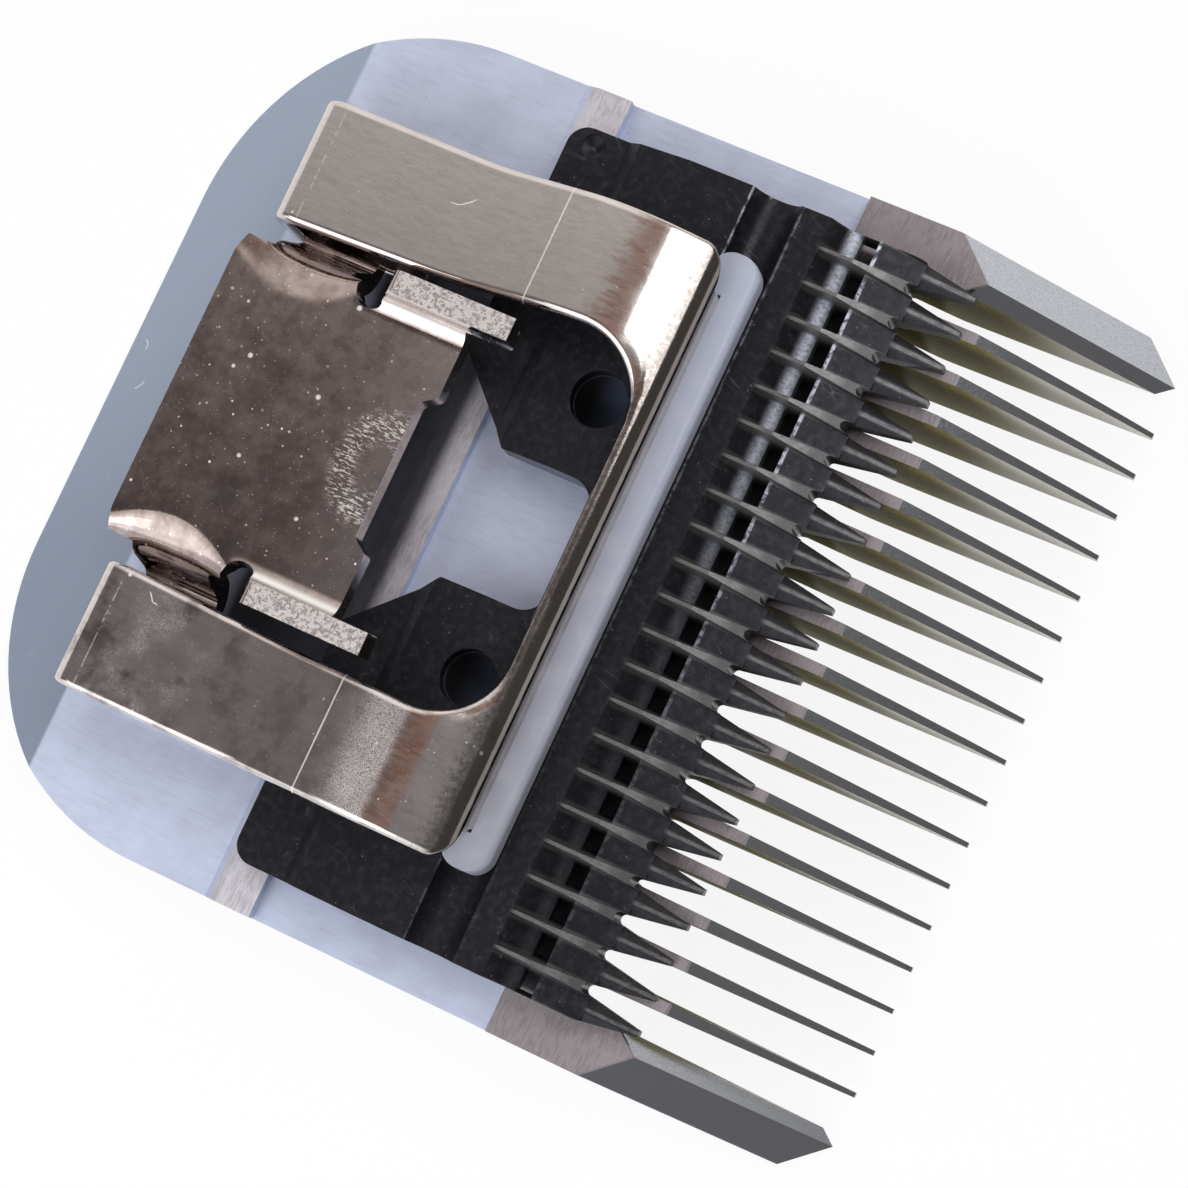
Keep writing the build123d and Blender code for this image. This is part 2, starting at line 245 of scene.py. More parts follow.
class Effects:
    """Shader node groups that several finishes share, each built once."""

    vectors = ("Vector", "Stretch", "Center", "Toward")

    def __init__(self) -> None:
        """Build every group."""
        self.specks = self._specks()
        self.hairlines = self._hairlines()
        self.scratches = self._scratches()
        self.band = self._band()
        self.curl = self._curl()

    def _group(self, name: str, *inputs: str, output: str = "Mask") -> tuple[Graph, list[Wire], NodeSocket]:
        """Make an empty group.

        Args:
            name: The group's name.
            inputs: Names of its inputs, numbers apart from those in vectors.
            output: Name of its output, a number.

        Returns:
            Its graph, a wire from each input and the socket that the output takes.
        """
        tree = bpy.data.node_groups.new(name, "ShaderNodeTree")
        for label in inputs:
            kind = "NodeSocketVector" if label in self.vectors else "NodeSocketFloat"
            tree.interface.new_socket(label, in_out="INPUT", socket_type=kind)
        tree.interface.new_socket(output, in_out="OUTPUT", socket_type="NodeSocketFloat")
        graph = Graph(tree)
        given = graph.add("NodeGroupInput")
        return graph, [graph.out(given, label) for label in inputs], graph.add("NodeGroupOutput").inputs[output]

    def _specks(self) -> NodeTree:
        """Round specks: cells of a Voronoi field, of which a share carries a dot of its own size."""
        graph, (place, scale, share, size), mask = self._group("specks", "Vector", "Scale", "Share", "Size")
        cells = graph.add("ShaderNodeTexVoronoi", {"Vector": place, "Scale": scale})
        pick = graph.add("ShaderNodeSeparateColor", {0: graph.out(cells, "Color")})
        chosen = graph.math("LESS_THAN", graph.out(pick, 0), share)
        radius = size * (graph.out(pick, 1) + 0.25)
        graph.feed(mask, chosen * graph.ramp(graph.out(cells, "Distance") / radius, 1.0, 0.45))
        return graph.tree

    def _hairlines(self) -> NodeTree:
        """Fine parallel grain: noise drawn out along one direction."""
        graph, (place, stretch), height = self._group("hairlines", "Vector", "Stretch", output="Height")
        graph.feed(height, graph.noise(graph.vector("MULTIPLY", place, stretch), 1.0, 2.0, 0.65))
        return graph.tree

    def _scratches(self) -> NodeTree:
        """Sparse thin scratches: edges of a drawn-out Voronoi field, kept where a slow noise is high."""
        graph, (place, stretch, angle, share), mask = self._group("scratches", "Vector", "Stretch", "Angle", "Share")
        turn = graph.add("ShaderNodeVectorRotate", {"Vector": place, "Angle": angle}, rotation_type="Z_AXIS")
        drawn = graph.vector("MULTIPLY", graph.out(turn), stretch)
        cells = graph.add("ShaderNodeTexVoronoi", {"Vector": drawn, "Scale": 1.0}, feature="DISTANCE_TO_EDGE")
        keep = graph.ramp(graph.noise(place, 0.55, 2.0), 1.0 - share, 1.0)
        graph.feed(mask, graph.ramp(graph.out(cells, "Distance"), 0.03, 0.0) * keep)
        return graph.tree

    def _band(self) -> NodeTree:
        """Mask of a value between two limits with soft edges."""
        graph, (value, low, high, soft), mask = self._group("band", "Value", "Low", "High", "Soft")
        rise = graph.ramp(value, low - soft, low + soft)
        graph.feed(mask, rise * graph.ramp(value, high - soft, high + soft, 1.0, 0.0))
        return graph.tree

    def _curl(self) -> NodeTree:
        """One curled hair scratch: the part of a thin circle that lies on one side of its middle, seen from above."""
        graph, (place, center, radius, toward), mask = self._group("curl", "Vector", "Center", "Radius", "Toward")
        flat = graph.vector("MULTIPLY", graph.vector("SUBTRACT", place, center), (1.0, 1.0, 0.0))
        wobble = (graph.noise(place, 1.6, 2.0) - 0.5) * 0.35
        line = graph.ramp(abs(graph.vector("LENGTH", flat, output="Value") + wobble - radius), 0.055, 0.015)
        ahead = graph.ramp(graph.vector("DOT_PRODUCT", flat, toward, "Value") / radius, 0.86, 0.9)
        graph.feed(mask, line * ahead)
        return graph.tree


EFFECTS = Effects()


@dataclass(frozen=True)
class Finish:
    """What every finish has: a name, a base colour, a roughness and a share of metal."""

    name: str
    color: Color
    roughness: float
    metallic: float = 1.0


class Paint(Graph):
    """The graph of one material: its shader, blade coordinates and the shared effects laid on them."""

    def __init__(self, finish: Finish) -> None:
        """Make the material with its Principled shader and a Mapping node that gives blade-frame millimetres."""
        self.material = bpy.data.materials.new(finish.name)
        self.material.use_nodes = True
        super().__init__(self.material.node_tree)
        self.shader = self.tree.nodes["Principled BSDF"]
        self.shade("Base Color", (*finish.color, 1.0))
        self.shade("Roughness", finish.roughness)
        self.shade("Metallic", finish.metallic)
        where = self.out(self.add("ShaderNodeTexCoord"), "Object")
        inputs = dict(zip(("Location", "Rotation", "Scale"), BLADE.mapping())) | {"Vector": where}
        self.place = self.out(self.add("ShaderNodeMapping", inputs))
        self.x, self.y, self.z = self.split(self.place)
        self.wide = abs(self.x)

    def shade(self, name: str, value: Value) -> None:
        """Feed or set one of the shader's inputs."""
        self.feed(self.shader.inputs[name], value)

    def bump(self, height: Wire, depth: float) -> None:
        """Feed a height, scaled to a depth in metres, to the shader's normal."""
        inputs = {"Strength": 1.0, "Distance": depth, "Height": height}
        self.shade("Normal", self.out(self.add("ShaderNodeBump", inputs)))

    def cloud(self, scale: float, detail: float = 3.0, rough: float = 0.5) -> Wire:
        """Soft noise on the blade, with scale in cells per millimetre."""
        return self.noise(self.place, scale, detail, rough)

    def specks(self, scale: float, share: float, size: float) -> Wire:
        """Round specks, with scale in cells per millimetre and size in cells."""
        return self.use(EFFECTS.specks, Vector=self.place, Scale=scale, Share=share, Size=size)

    def hairlines(self, stretch: Point) -> Wire:
        """Fine grain, with its cells per millimetre along each axis."""
        return self.use(EFFECTS.hairlines, Vector=self.place, Stretch=stretch)

    def scratches(self, stretch: Point, angle: float, share: float) -> Wire:
        """Sparse scratches, turned by an angle in radians."""
        return self.use(EFFECTS.scratches, Vector=self.place, Stretch=stretch, Angle=angle, Share=share)

    def band(self, value: Wire, limits: Span, soft: float) -> Wire:
        """Mask of a value between two limits, with edges softened to both sides."""
        return self.use(EFFECTS.band, Value=value, Low=limits[0], High=limits[1], Soft=soft)

    def curl(self, center: Point, radius: float, toward: Point) -> Wire:
        """One curled hair scratch."""
        return self.use(EFFECTS.curl, Vector=self.place, Center=center, Radius=radius, Toward=toward)


@dataclass(frozen=True)
class SatinSteel(Finish):
    """The comb: tumbled bluish plate, ground warm rail and land, darker bevel with painted shade towards -X, facets,
    olive tooth flanks with a painted reflection near the tips, and painted shade under the cutter and socket.
    """

    name: str = "satin_comb_steel"
    color: Color = (0.62, 0.68, 0.86)
    roughness: float = 0.46
    metallic: float = 0.55
    cloudy: Color = (0.55, 0.60, 0.76)
    brushed: Color = (0.36, 0.38, 0.46)
    bevel: Color = (0.36, 0.42, 0.53)
    bevel_painted_shade: Color = (0.29, 0.34, 0.44)
    rail: Color = (0.70, 0.68, 0.74)
    land: Color = (0.32, 0.29, 0.305)
    stain: Color = (0.17, 0.15, 0.155)
    facet: Color = (0.48, 0.50, 0.54)
    facet_dull: Color = (0.43, 0.445, 0.48)
    flank: Color = (0.24, 0.20, 0.045)
    flank_dark: Color = (0.13, 0.11, 0.035)
    flank_tip_reflection: Color = (0.62, 0.61, 0.56)
    painted_shade: Color = (0.020, 0.019, 0.024)
    speck: Color = (0.16, 0.16, 0.19)
    scratched: Color = (0.85, 0.88, 0.95)
    facet_metal: float = 0.97
    flank_metal: float = 0.15
    depth: float = 0.0000035
    raised_from: Span = (-0.3, -0.12)
    land_from: Span = (-9.0, -10.0)
    bevel_from: Span = (15.35, 15.6)
    facet_from: Span = (-19.6, -20.4)
    facet_below: Span = (-0.03, -0.10)
    facet_within: Span = (24.995, 24.97)
    flank_from: Span = (-15.5, -17.5)
    flank_facing: Span = (0.88, 0.96)
    flank_within: Span = (24.95, 24.85)
    tip_from: Span = (-23.5, -28.0)
    painted_shade_from: Span = (4.0, -16.0)
    cutter_run: Span = (-18.9, -1.0)
    cutter_half: Span = (22.2, 21.9)
    socket_run: Span = (1.1, 9.0)
    socket_half: Span = (14.0, 11.5)

    def zones(self, paint: Paint) -> dict[str, Wire]:
        """Masks of the comb's areas, from blade coordinates and the surface's normal.

        Args:
            paint: The material's graph.

        Returns:
            Masks by area name.
        """
        y, z, wide, ramp = paint.y, paint.z, paint.wide, paint.ramp
        across = abs(paint.split(paint.out(paint.add("ShaderNodeNewGeometry"), "Normal"))[0])
        raised = ramp(z, *self.raised_from)
        # Painted shade: the raised comb under the cutter and the comb under the socket are darkened where shade falls.
        under_cutter = raised * paint.band(y, self.cutter_run, 0.35) * ramp(wide, *self.cutter_half)
        under_socket = paint.band(y, self.socket_run, 0.5) * ramp(wide, *self.socket_half)
        return {
            "raised": raised,
            "land": raised * ramp(y, *self.land_from),
            "rear": ramp(y, *self.bevel_from),
            "front": ramp(y, *self.facet_from) * ramp(z, *self.facet_below) * ramp(wide, *self.facet_within),
            "flank": ramp(across, *self.flank_facing) * ramp(y, *self.flank_from) * ramp(wide, *self.flank_within),
            "painted_shade": under_cutter | under_socket,
        }

    def build(self) -> Material:
        """Make the material."""
        paint = Paint(self)
        zone, ramp = self.zones(paint), paint.ramp
        blotch, grain = paint.cloud(0.33, 4.0, 0.6), paint.cloud(9.0, 1.0, 0.6)
        brush, streak = paint.hairlines((6.0, 0.5, 2.0)), paint.hairlines((1.2, 7.0, 3.0))
        scratch = paint.scratches((0.25, 1.4, 0.6), 0.6, 0.46)
        curls = paint.curl((1.6, 21.4, 0), 0.6, (0.5, -1, 0)) | paint.curl((-0.2, 20.4, 0), 0.5, (-0.7, -1, 0))
        # Painted shade: the rear bevel darkens towards -X, where less light falls on it.
        painted_slope_shade = paint.blend(ramp(paint.x, *self.painted_shade_from), self.bevel, self.bevel_painted_shade)
        dirt = ramp(blotch * streak, 0.18, 0.36) * ramp(zone["land"], 0.0, 1.0, 0.35, 0.55)
        ground = paint.layers(self.rail, (zone["land"], self.land), (dirt, self.stain))
        crest = paint.blend(ramp(grain, 0.35, 0.65), self.facet, self.facet_dull)
        # The flanks lighten towards the tooth tips as a painted reflection.
        flank = paint.layers(
            self.flank, (ramp(streak, 0.5, 0.72), self.flank_dark), (ramp(paint.y, *self.tip_from), self.flank_tip_reflection))
        paint.shade("Base Color", paint.layers(
            self.color,
            (ramp(blotch, 0.35, 0.7), self.cloudy),
            (zone["rear"], painted_slope_shade),
            (ramp(brush, 0.45, 0.75) * 0.22, self.brushed),
            (zone["raised"], ground),
            (zone["front"], crest),
            (zone["flank"], flank),
            # painted shade under the cutter and the socket
            (zone["painted_shade"] * 0.93, self.painted_shade),
            (paint.specks(1.2, 0.16, 0.10) * 0.45, self.speck),
            (scratch * 0.35 | curls * 0.7, self.scratched)))
        rough = ramp(grain, 0.2, 0.8, self.roughness - 0.06, self.roughness + 0.06) - zone["front"] * 0.30
        paint.shade("Roughness", paint.math("ADD", rough, zone["flank"] * 0.5, True) + zone["painted_shade"] * 0.2)
        metal = ramp(zone["front"], 0.0, 1.0, self.metallic, self.facet_metal)
        paint.shade("Metallic", metal * ramp(zone["flank"], 0.0, 1.0, 1.0, self.flank_metal))
        paint.bump(grain * 0.7 + streak * zone["raised"] - grain * zone["front"] * 0.35, self.depth)
        return paint.material


@dataclass(frozen=True)
class BlackOxide(Finish):
    """The cutter: black steel with worn grey ridges and tooth spines, fine pale dust, a painted sheen behind its
    windows, painted highlights on its edges and painted shade in its holes.
    """

    name: str = "black_cutter_steel"
    color: Color = (0.022, 0.022, 0.027)
    roughness: float = 0.34
    metallic: float = 0.6
    gloss: float = 0.15
    cloudy: Color = (0.038, 0.037, 0.044)
    worn: Color = (0.20, 0.195, 0.195)
    brushed: Color = (0.125, 0.122, 0.125)
    dusty: Color = (0.38, 0.39, 0.42)
    painted_highlight: Color = (0.76, 0.81, 0.92)
    hole_shade: Color = (0.003, 0.003, 0.004)
    hole_painted_reflection: Color = (0.035, 0.045, 0.070)
    depth: float = 0.000004
    pitch: float = 2.0591
    hole: Span = (8.3, -6.5)
    hole_edge: Span = (1.62, 1.5)
    ridge_from: Span = (-13.8, -14.4)
    ridge_worn_to: Span = (-17.9, -16.9)
    web_run: Span = (-19.0, -17.0)
    painted_sheen_run: Span = (-15.62, -15.05)
    window_lip: Span = (-16.95, -16.76)
    groove_rear: Span = (-9.42, -9.30)
    groove_front: Span = (-12.42, -12.30)
    groove_above: Span = (3.1, 3.3)
    hole_below: Span = (3.32, 3.2)
    spine_from: Span = (-19.3, -19.7)
    tooth_from: Span = (-18.6, -19.8)
    ridge_run: Span = (-13.9, -16.2)
    ridge_half: Span = (0.11, 0.36)
    painted_sheen_line: float = -15.35

    def dust(self, paint: Paint, blotch: Wire) -> Wire:
        """Mask of dust on the flats, lint, and grit on the webs, with the painted sheen kept clean.

        Args:
            paint: The material's graph.
            blotch: Noise that gathers the dust.

        Returns:
            The mask.
        """
        flats = (paint.specks(3.2, 0.36, 0.15) * paint.ramp(blotch, 0.35, 0.6) | paint.specks(0.9, 0.14, 0.11)) * 0.5
        webs = paint.specks(6.0, 0.3, 0.12) * paint.band(paint.y, self.web_run, 0.3) * 0.45
        return (flats | webs) * paint.ramp(abs(paint.y - self.painted_sheen_line), 0.5, 0.8)

    def painted_edge_lines(self, paint: Paint, between: Wire) -> Wire:
        """Mask of painted highlights on edges: the windows' front lips and both edges of the groove, strongest at +X.

        Args:
            paint: The material's graph.
            between: Mask of what lies between the ridges.

        Returns:
            The mask.
        """
        lips = paint.band(paint.y, self.window_lip, 0.04) * between * paint.ramp(paint.x, -12.0, 14.0, 0.08, 0.9)
        edge = paint.band(paint.y, self.groove_rear, 0.03) | paint.band(paint.y, self.groove_front, 0.03) * 0.6
        return lips | edge * paint.ramp(paint.x, -14.0, 10.0, 0.12, 1.0) * paint.ramp(paint.z, *self.groove_above)

    def build(self) -> Material:
        """Make the material: distance from the nearest ridge and the nearest tooth middle steer the wear."""
        paint = Paint(self)
        paint.shade("Specular IOR Level", self.gloss)
        x, y, ramp = paint.x, paint.y, paint.ramp
        off = abs(paint.math("FRACT", x / self.pitch + 100.5) - 0.5) * self.pitch
        blotch, fine = paint.cloud(2.2, 3.0, 0.6), paint.cloud(14.0, 1.0, 0.6)
        streak = paint.hairlines((7.0, 1.2, 7.0))
        ahead = ramp(y, *self.ridge_from)
        half = ramp(y, *self.ridge_run, *self.ridge_half)
        crest = ramp(off, half, half * 0.4) * ahead * ramp(y + blotch, *self.ridge_worn_to)
        side = ramp(off, 0.46, 0.22) * ahead
        spine = ramp(self.pitch / 2 - off, 0.15, 0.06) * ramp(y, *self.spine_from, 0.0, 0.7)
        tooth = ramp(y, *self.tooth_from, 0.0, 0.2)
        dust = self.dust(paint, blotch)
        between = ramp(off, 0.22, 0.34)
        # Painted sheen: a bluish white highlight between the ridges behind the windows, strongest towards +X.
        painted_sheen = paint.band(y, self.painted_sheen_run, 0.3) * between * ramp(streak, 0.3, 0.6, 0.55, 1.0)
        painted_sheen = painted_sheen * ramp(x, -5.0, 17.0, 0.06, 1.0)
        # Painted highlights: bright lines along the window lips and the groove edges.
        painted_edge_lines = self.painted_edge_lines(paint, between) * ramp(blotch, 0.4, 0.6, 0.05, 0.6)
        # Painted shade in the two blind holes, lighter towards their front by a painted bluish reflection.
        aside, behind = paint.wide - self.hole[0], y - self.hole[1]
        apart = paint.math("SQRT", aside * aside + behind * behind)
        hole = ramp(apart, *self.hole_edge) * ramp(paint.z, *self.hole_below)
        paint.shade("Base Color", paint.layers(
            self.color,
            (ramp(blotch, 0.4, 0.75), self.cloudy),
            (side * 0.8 | tooth * 0.45, self.brushed),
            ((crest | spine) * ramp(streak, 0.3, 0.6, 0.4, 1.0), self.worn),
            (dust | paint.scratches((1.2, 0.3, 0.6), 0.4, 0.5) * 0.3, self.dusty),
            (painted_sheen | painted_edge_lines, self.painted_highlight),
            (hole, paint.blend(ramp(behind, 1.0, -1.5), self.hole_shade, self.hole_painted_reflection))))
        paint.shade("Metallic", ramp(painted_sheen, 0.0, 0.8, self.metallic, 0.0))
        rough = ramp(fine, 0.2, 0.8, self.roughness - 0.07, self.roughness + 0.09)
        paint.shade("Roughness", rough + hole * 0.3 + dust * 0.5)
        paint.bump(fine + streak * side, self.depth)
        return paint.material


@dataclass(frozen=True)
class BrightNickel(Finish):
    """Spring and socket: bright warm nickel with orange peel, blotches of painted dark reflection, specks, pale
    patches, painted reflection bands, painted highlights and sheared edges.
    """

    name: str = "spring_nickel"
    color: Color = (0.66, 0.605, 0.575)
    cloudy: Color = (0.60, 0.545, 0.515)
    roughness: float = 0.10
    speckle: float = 0.5
    speck_share: float = 0.34
    speck_size: float = 0.14
    grain: Point = (4.0, 0.6, 1.0)
    dark_reflection_share: float = 0.75
    painted_dark_reflection: Color = (0.20, 0.165, 0.155)
    painted_front_highlight: Color = (0.66, 0.60, 0.58)
    painted_brown_reflection: Color = (0.37, 0.24, 0.20)
    speck: Color = (0.92, 0.90, 0.88)
    dot: Color = (0.97, 0.96, 0.95)
    tick: Color = (0.90, 0.87, 0.85)
    crease_highlight: Color = (0.95, 0.93, 0.90)
    darker_front_tone: Color = (0.13, 0.115, 0.105)
    pale_and_painted_light: Color = (0.95, 0.94, 0.95)
    bent: Color = (0.92, 0.90, 0.88)
    sheared: Color = (0.72, 0.68, 0.66)
    torn: Color = (0.38, 0.35, 0.34)
    depth: float = 0.0000022
    crease: float = -1.55
    fold_line: float = 12.9
    ear_top: float = 8.24
    hump_run: Span = (-6.9, -5.4)
    patch_run: Span = (6.5, 12.0)
    bend_across: Span = (7.55, 8.62)
    bend_run: Span = (-2.5, 6.2)
    bend_above: Span = (5.6, 5.8)
    leg_across: Span = (9.95, 10.1)
    leg_above: Span = (4.0, 4.5)
    light_band_rear: Span = (-1.6, -4.6)
    light_band_front: Span = (-6.2, -5.6)
    darker_front_from: Span = (-7.5, -8.9)
    darker_front_above: Span = (6.0, 6.4)
    plate_across: Span = (7.6, 7.2)
    plate_above: Span = (5.4, 5.55)
    front_highlight_from: Span = (6.5, 1.0)
    ear_across: Span = (10.1, 10.0)
    ear_behind: Span = (-3.0, -2.5)
    oval_center: Point = (-0.2, 2.6, 5.6)
    oval_scale: Point = (0.31, 0.42, 0.0)

    def spring_marks(self, paint: Paint) -> dict[str, Wire]:
        """Masks of the spring's marks, which all lie on its legs and crossbar.

        Args:
            paint: The material's graph.

        Returns:
            Masks by mark name.
        """
        x, y, z, ramp = paint.x, paint.y, paint.z, paint.ramp
        leg = ramp(paint.wide, *self.leg_across) * ramp(z, *self.leg_above)
        near_curl = paint.curl((16.44, 5.09, 0), 1.6, (-0.9, -0.43, 0))
        far_curl = paint.curl((-10.9, 10.4, 0), 0.8, (-0.8, 0.6, 0))
        dashes = ramp(paint.cloud(2.4, 2.0), 0.42, 0.55, 0.0, 0.45)
        fold = ramp(abs(y - self.fold_line), 0.07, 0.02) * dashes
        astray = (paint.cloud(0.9, 3.0, 0.6) - 0.5) * 2.6
        drawn = ramp(paint.hairlines((4.0, 0.8, 1.0)), 0.45, 0.65)
        painted_light_band = ramp(y, *self.light_band_rear) * ramp(y, *self.light_band_front)
        patches = paint.band(y, self.patch_run, 2.0) * ramp(paint.cloud(0.5, 3.0), 0.42, 0.62)
        haze = ramp(x, 12.0, -9.0, 0.12, 1.0) * ramp(paint.cloud(19.0, 1.0, 0.75), 0.20, 0.85)
        return {
            # Crease and fold lines on the legs, coloured near white as a painted highlight.
            "crease": (ramp(abs(y - self.crease), 0.075, 0.03) | fold) * leg,
            "curls": near_curl | far_curl,
            # Darker towards the crossbar, on the high part of the sheet.
            "darker_front": ramp(y + paint.cloud(3.2, 4.0, 0.7) * 2.4, *self.darker_front_from) * ramp(z, *self.darker_front_above),
            # Painted reflection: a streaked brown band across the legs at the hump.
            "brown_reflection": paint.band(y + astray, self.hump_run, 0.6) * drawn * leg,
            # Partly painted light: a hazy pale band on the legs at the hump is a painted reflection, strongest towards
            # -X, and pale patches further back are added to it.
            "pale_patches_and_light": (painted_light_band | patches * 0.55) * leg * haze,
        }

    def socket_marks(self, paint: Paint) -> dict[str, Wire]:
        """Masks of the socket's marks: chatter and a painted highlight on the plate, painted highlights on the bends,
        and sheared ear tops.

        Args:
            paint: The material's graph.

        Returns:
            Masks by mark name.
        """
        y, z, wide, ramp = paint.y, paint.z, paint.wide, paint.ramp
        oval = paint.vector("MULTIPLY", paint.vector("SUBTRACT", paint.place, self.oval_center), self.oval_scale)
        ring = paint.band(paint.vector("LENGTH", oval, output="Value"), (0.45, 1.0), 0.2)
        plate = ramp(z, *self.plate_above) * ramp(wide, *self.plate_across)
        # Painted highlight on the inner bends beside the plate, by the ears.
        bend_highlights = paint.band(wide, self.bend_across, 0.12) * paint.band(y, self.bend_run, 0.15)
        top = ramp(z, self.ear_top - 0.04, self.ear_top)
        return {
            "chatter": ring * plate * ramp(paint.hairlines((11.0, 2.6, 1.0)), 0.5, 0.6),
            "ear": top * ramp(wide, *self.ear_across) * ramp(y, *self.ear_behind),
            "bend": bend_highlights * ramp(z, *self.bend_above),
            # Painted highlight: the plate lightens towards its front, at the mouth.
            "front_highlight": plate * ramp(y, *self.front_highlight_from),
        }

    def build(self) -> Material:
        """Make the material."""
        paint = Paint(self)
        ramp = paint.ramp
        mark = self.spring_marks(paint) | self.socket_marks(paint)
        peel, fine, cloud = paint.cloud(1.4, 4.0, 0.6), paint.cloud(8.0, 1.0, 0.6), paint.cloud(0.28, 4.0, 0.65)
        # Painted reflection: dark blotches, strongest towards the rear and -X, stand for dark things mirrored in the
        # nickel.
        blotch = ramp(paint.cloud(0.42, 4.0, 0.62), 0.47, 0.66) * ramp(paint.y, 4.0, 8.0, 0.55, 1.0)
        blotch = blotch * ramp(paint.x, 10.0, 2.0)
        gathered = ramp(cloud, 0.42, 0.68) * 0.6 + 0.4
        specks = paint.specks(2.4, self.speck_share, self.speck_size) * gathered
        specks = specks | paint.specks(7.0, self.speck_share, 0.16) * 0.7
        dots = paint.specks(1.1, self.speck_share - 0.2, self.speck_size)
        ragged = ramp(paint.cloud(5.0, 2.0, 0.7), 0.46, 0.62)
        brush = ramp(paint.hairlines(self.grain), 0.35, 0.7)
        paint.shade("Base Color", paint.layers(
            self.color,
            (brush, self.cloudy),
            (blotch * self.dark_reflection_share, self.painted_dark_reflection),
            (mark["front_highlight"] * 0.4, self.painted_front_highlight),
            (mark["brown_reflection"] * 0.55, self.painted_brown_reflection),
            (specks * self.speckle, self.speck),
            ((dots | mark["curls"]) * 0.8, self.dot),
            (mark["chatter"] * 0.6, self.tick),
            (mark["crease"] * 0.65, self.crease_highlight),
            (mark["darker_front"] * 0.8, self.darker_front_tone),
            (mark["pale_patches_and_light"] * 0.6, self.pale_and_painted_light),
            # painted highlight on the inner bends
            (mark["bend"] * 0.85, self.bent),
            (mark["ear"], paint.blend(paint.specks(4.5, 0.6, 0.3) | ragged, self.sheared, self.torn))))
        soft = specks | dots | mark["crease"] | mark["curls"] | mark["chatter"] | mark["ear"] | mark["pale_patches_and_light"]
        rough = ramp(cloud, 0.3, 0.75, self.roughness - 0.02, self.roughness + 0.07)
        paint.shade("Roughness", rough + soft * 0.4)
        paint.bump(fine * 0.3 + peel * 2.2 - mark["ear"] * ragged * 20.0, self.depth)
        return paint.material


@dataclass(frozen=True)
class MilkyNylon(Finish):
    """The guide bar: bluish white moulded nylon, darker towards -X by painted shade."""

    name: str = "milky_nylon"
    color: Color = (0.44, 0.475, 0.585)
    roughness: float = 0.36
    metallic: float = 0.0
    painted_end_shade: Color = (0.33, 0.345, 0.40)
    milky: Color = (0.52, 0.54, 0.60)
    flowed: Color = (0.30, 0.31, 0.35)
    speck: Color = (0.2, 0.2, 0.22)
    depth: float = 0.000003

    def build(self) -> Material:
        """Make the material."""
        paint = Paint(self)
        ramp, fine, flow = paint.ramp, paint.cloud(6.0, 3.0, 0.5), paint.hairlines((0.25, 4.0, 4.0))
        paint.shade("Base Color", paint.layers(
            self.color,
            # Painted shade: darker from +X to -X.
            (ramp(paint.x, 18.0, -18.0), self.painted_end_shade),
            (ramp(paint.cloud(0.6, 3.0, 0.5), 0.4, 0.8) * 0.35, self.milky),
            (ramp(flow, 0.5, 0.8) * 0.2, self.flowed),
            (paint.specks(1.3, 0.10, 0.1) * 0.5, self.speck)))
        paint.shade("Roughness", ramp(fine, 0.2, 0.8, self.roughness - 0.05, self.roughness + 0.1))
        paint.bump(fine + flow, self.depth)
        return paint.material


@dataclass(frozen=True)
class ZincPlate(Finish):
    """The screws: dull speckled zinc."""

    name: str = "zinc_plate"
    color: Color = (0.58, 0.58, 0.57)
    roughness: float = 0.38
    dull: Color = (0.46, 0.46, 0.45)
    speck: Color = (0.25, 0.25, 0.25)
    depth: float = 0.000004

    def build(self) -> Material:
        """Make the material."""
        paint = Paint(self)
        fine = paint.cloud(9.0, 4.0, 0.6)
        paint.shade("Base Color", paint.layers(
            self.color, (paint.ramp(fine, 0.3, 0.7), self.dull), (paint.specks(2.0, 0.3, 0.16) * 0.5, self.speck)))
        paint.shade("Roughness", paint.ramp(fine, 0.2, 0.8, self.roughness - 0.08, self.roughness + 0.12))
        paint.bump(fine, self.depth)
        return paint.material


def rounded_path(
    corners: Sequence[Span], radii: Sequence[float], arc_steps: int = 14, run_steps: int = 6,
) -> np.ndarray:
    """A flat path of straight runs joined by tangent arcs.

    Each corner is cut back along both runs by radius * tan(turn / 2), and an arc of that radius joins the cuts.

    Args:
        corners: Corner points, ends included.
        radii: One radius for each inner corner.
        arc_steps: Points along each arc.
        run_steps: Points along each straight run.

    Returns:
        Points along the path, two numbers each.
    """
    points = np.asarray(corners, float)
    runs = np.diff(points, axis=0)
    runs /= np.linalg.norm(runs, axis=1, keepdims=True)
    pieces, start = [], points[0]
    for corner, before, after, radius in zip(points[1:-1], runs[:-1], runs[1:], radii):
        turn = math.atan2(before[0] * after[1] - before[1] * after[0], float(before @ after))
        cut = radius * math.tan(abs(turn) / 2)
        left = np.array((-before[1], before[0])) * math.copysign(radius, turn)
        entry = corner - before * cut
        angle = np.linspace(0, turn, arc_steps)[:, None]
        spin = -left * np.cos(angle) - np.array((-left[1], left[0])) * np.sin(angle)
        pieces.append(np.linspace(start, entry, run_steps)[:-1])
        pieces.append(entry + left + spin)
        start = corner + after * cut
    pieces.append(np.linspace(start, points[-1], run_steps)[1:])
    path = np.concatenate(pieces)
    keep = np.r_[True, np.linalg.norm(np.diff(path, axis=0), axis=1) > 1e-6]
    return path[keep]


def grid_of(x: np.ndarray, y: np.ndarray, z: Union[float, np.ndarray]) -> np.ndarray:
    """Spread X, Y and Z over one common shape and join them into points."""
    return np.stack(np.broadcast_arrays(x, y, z), -1)


def put(name: str, data: ID) -> Object:
    """Make an object of some data at the origin and link it into the scene."""
    made = bpy.data.objects.new(name, data)
    bpy.context.scene.collection.objects.link(made)
    return made


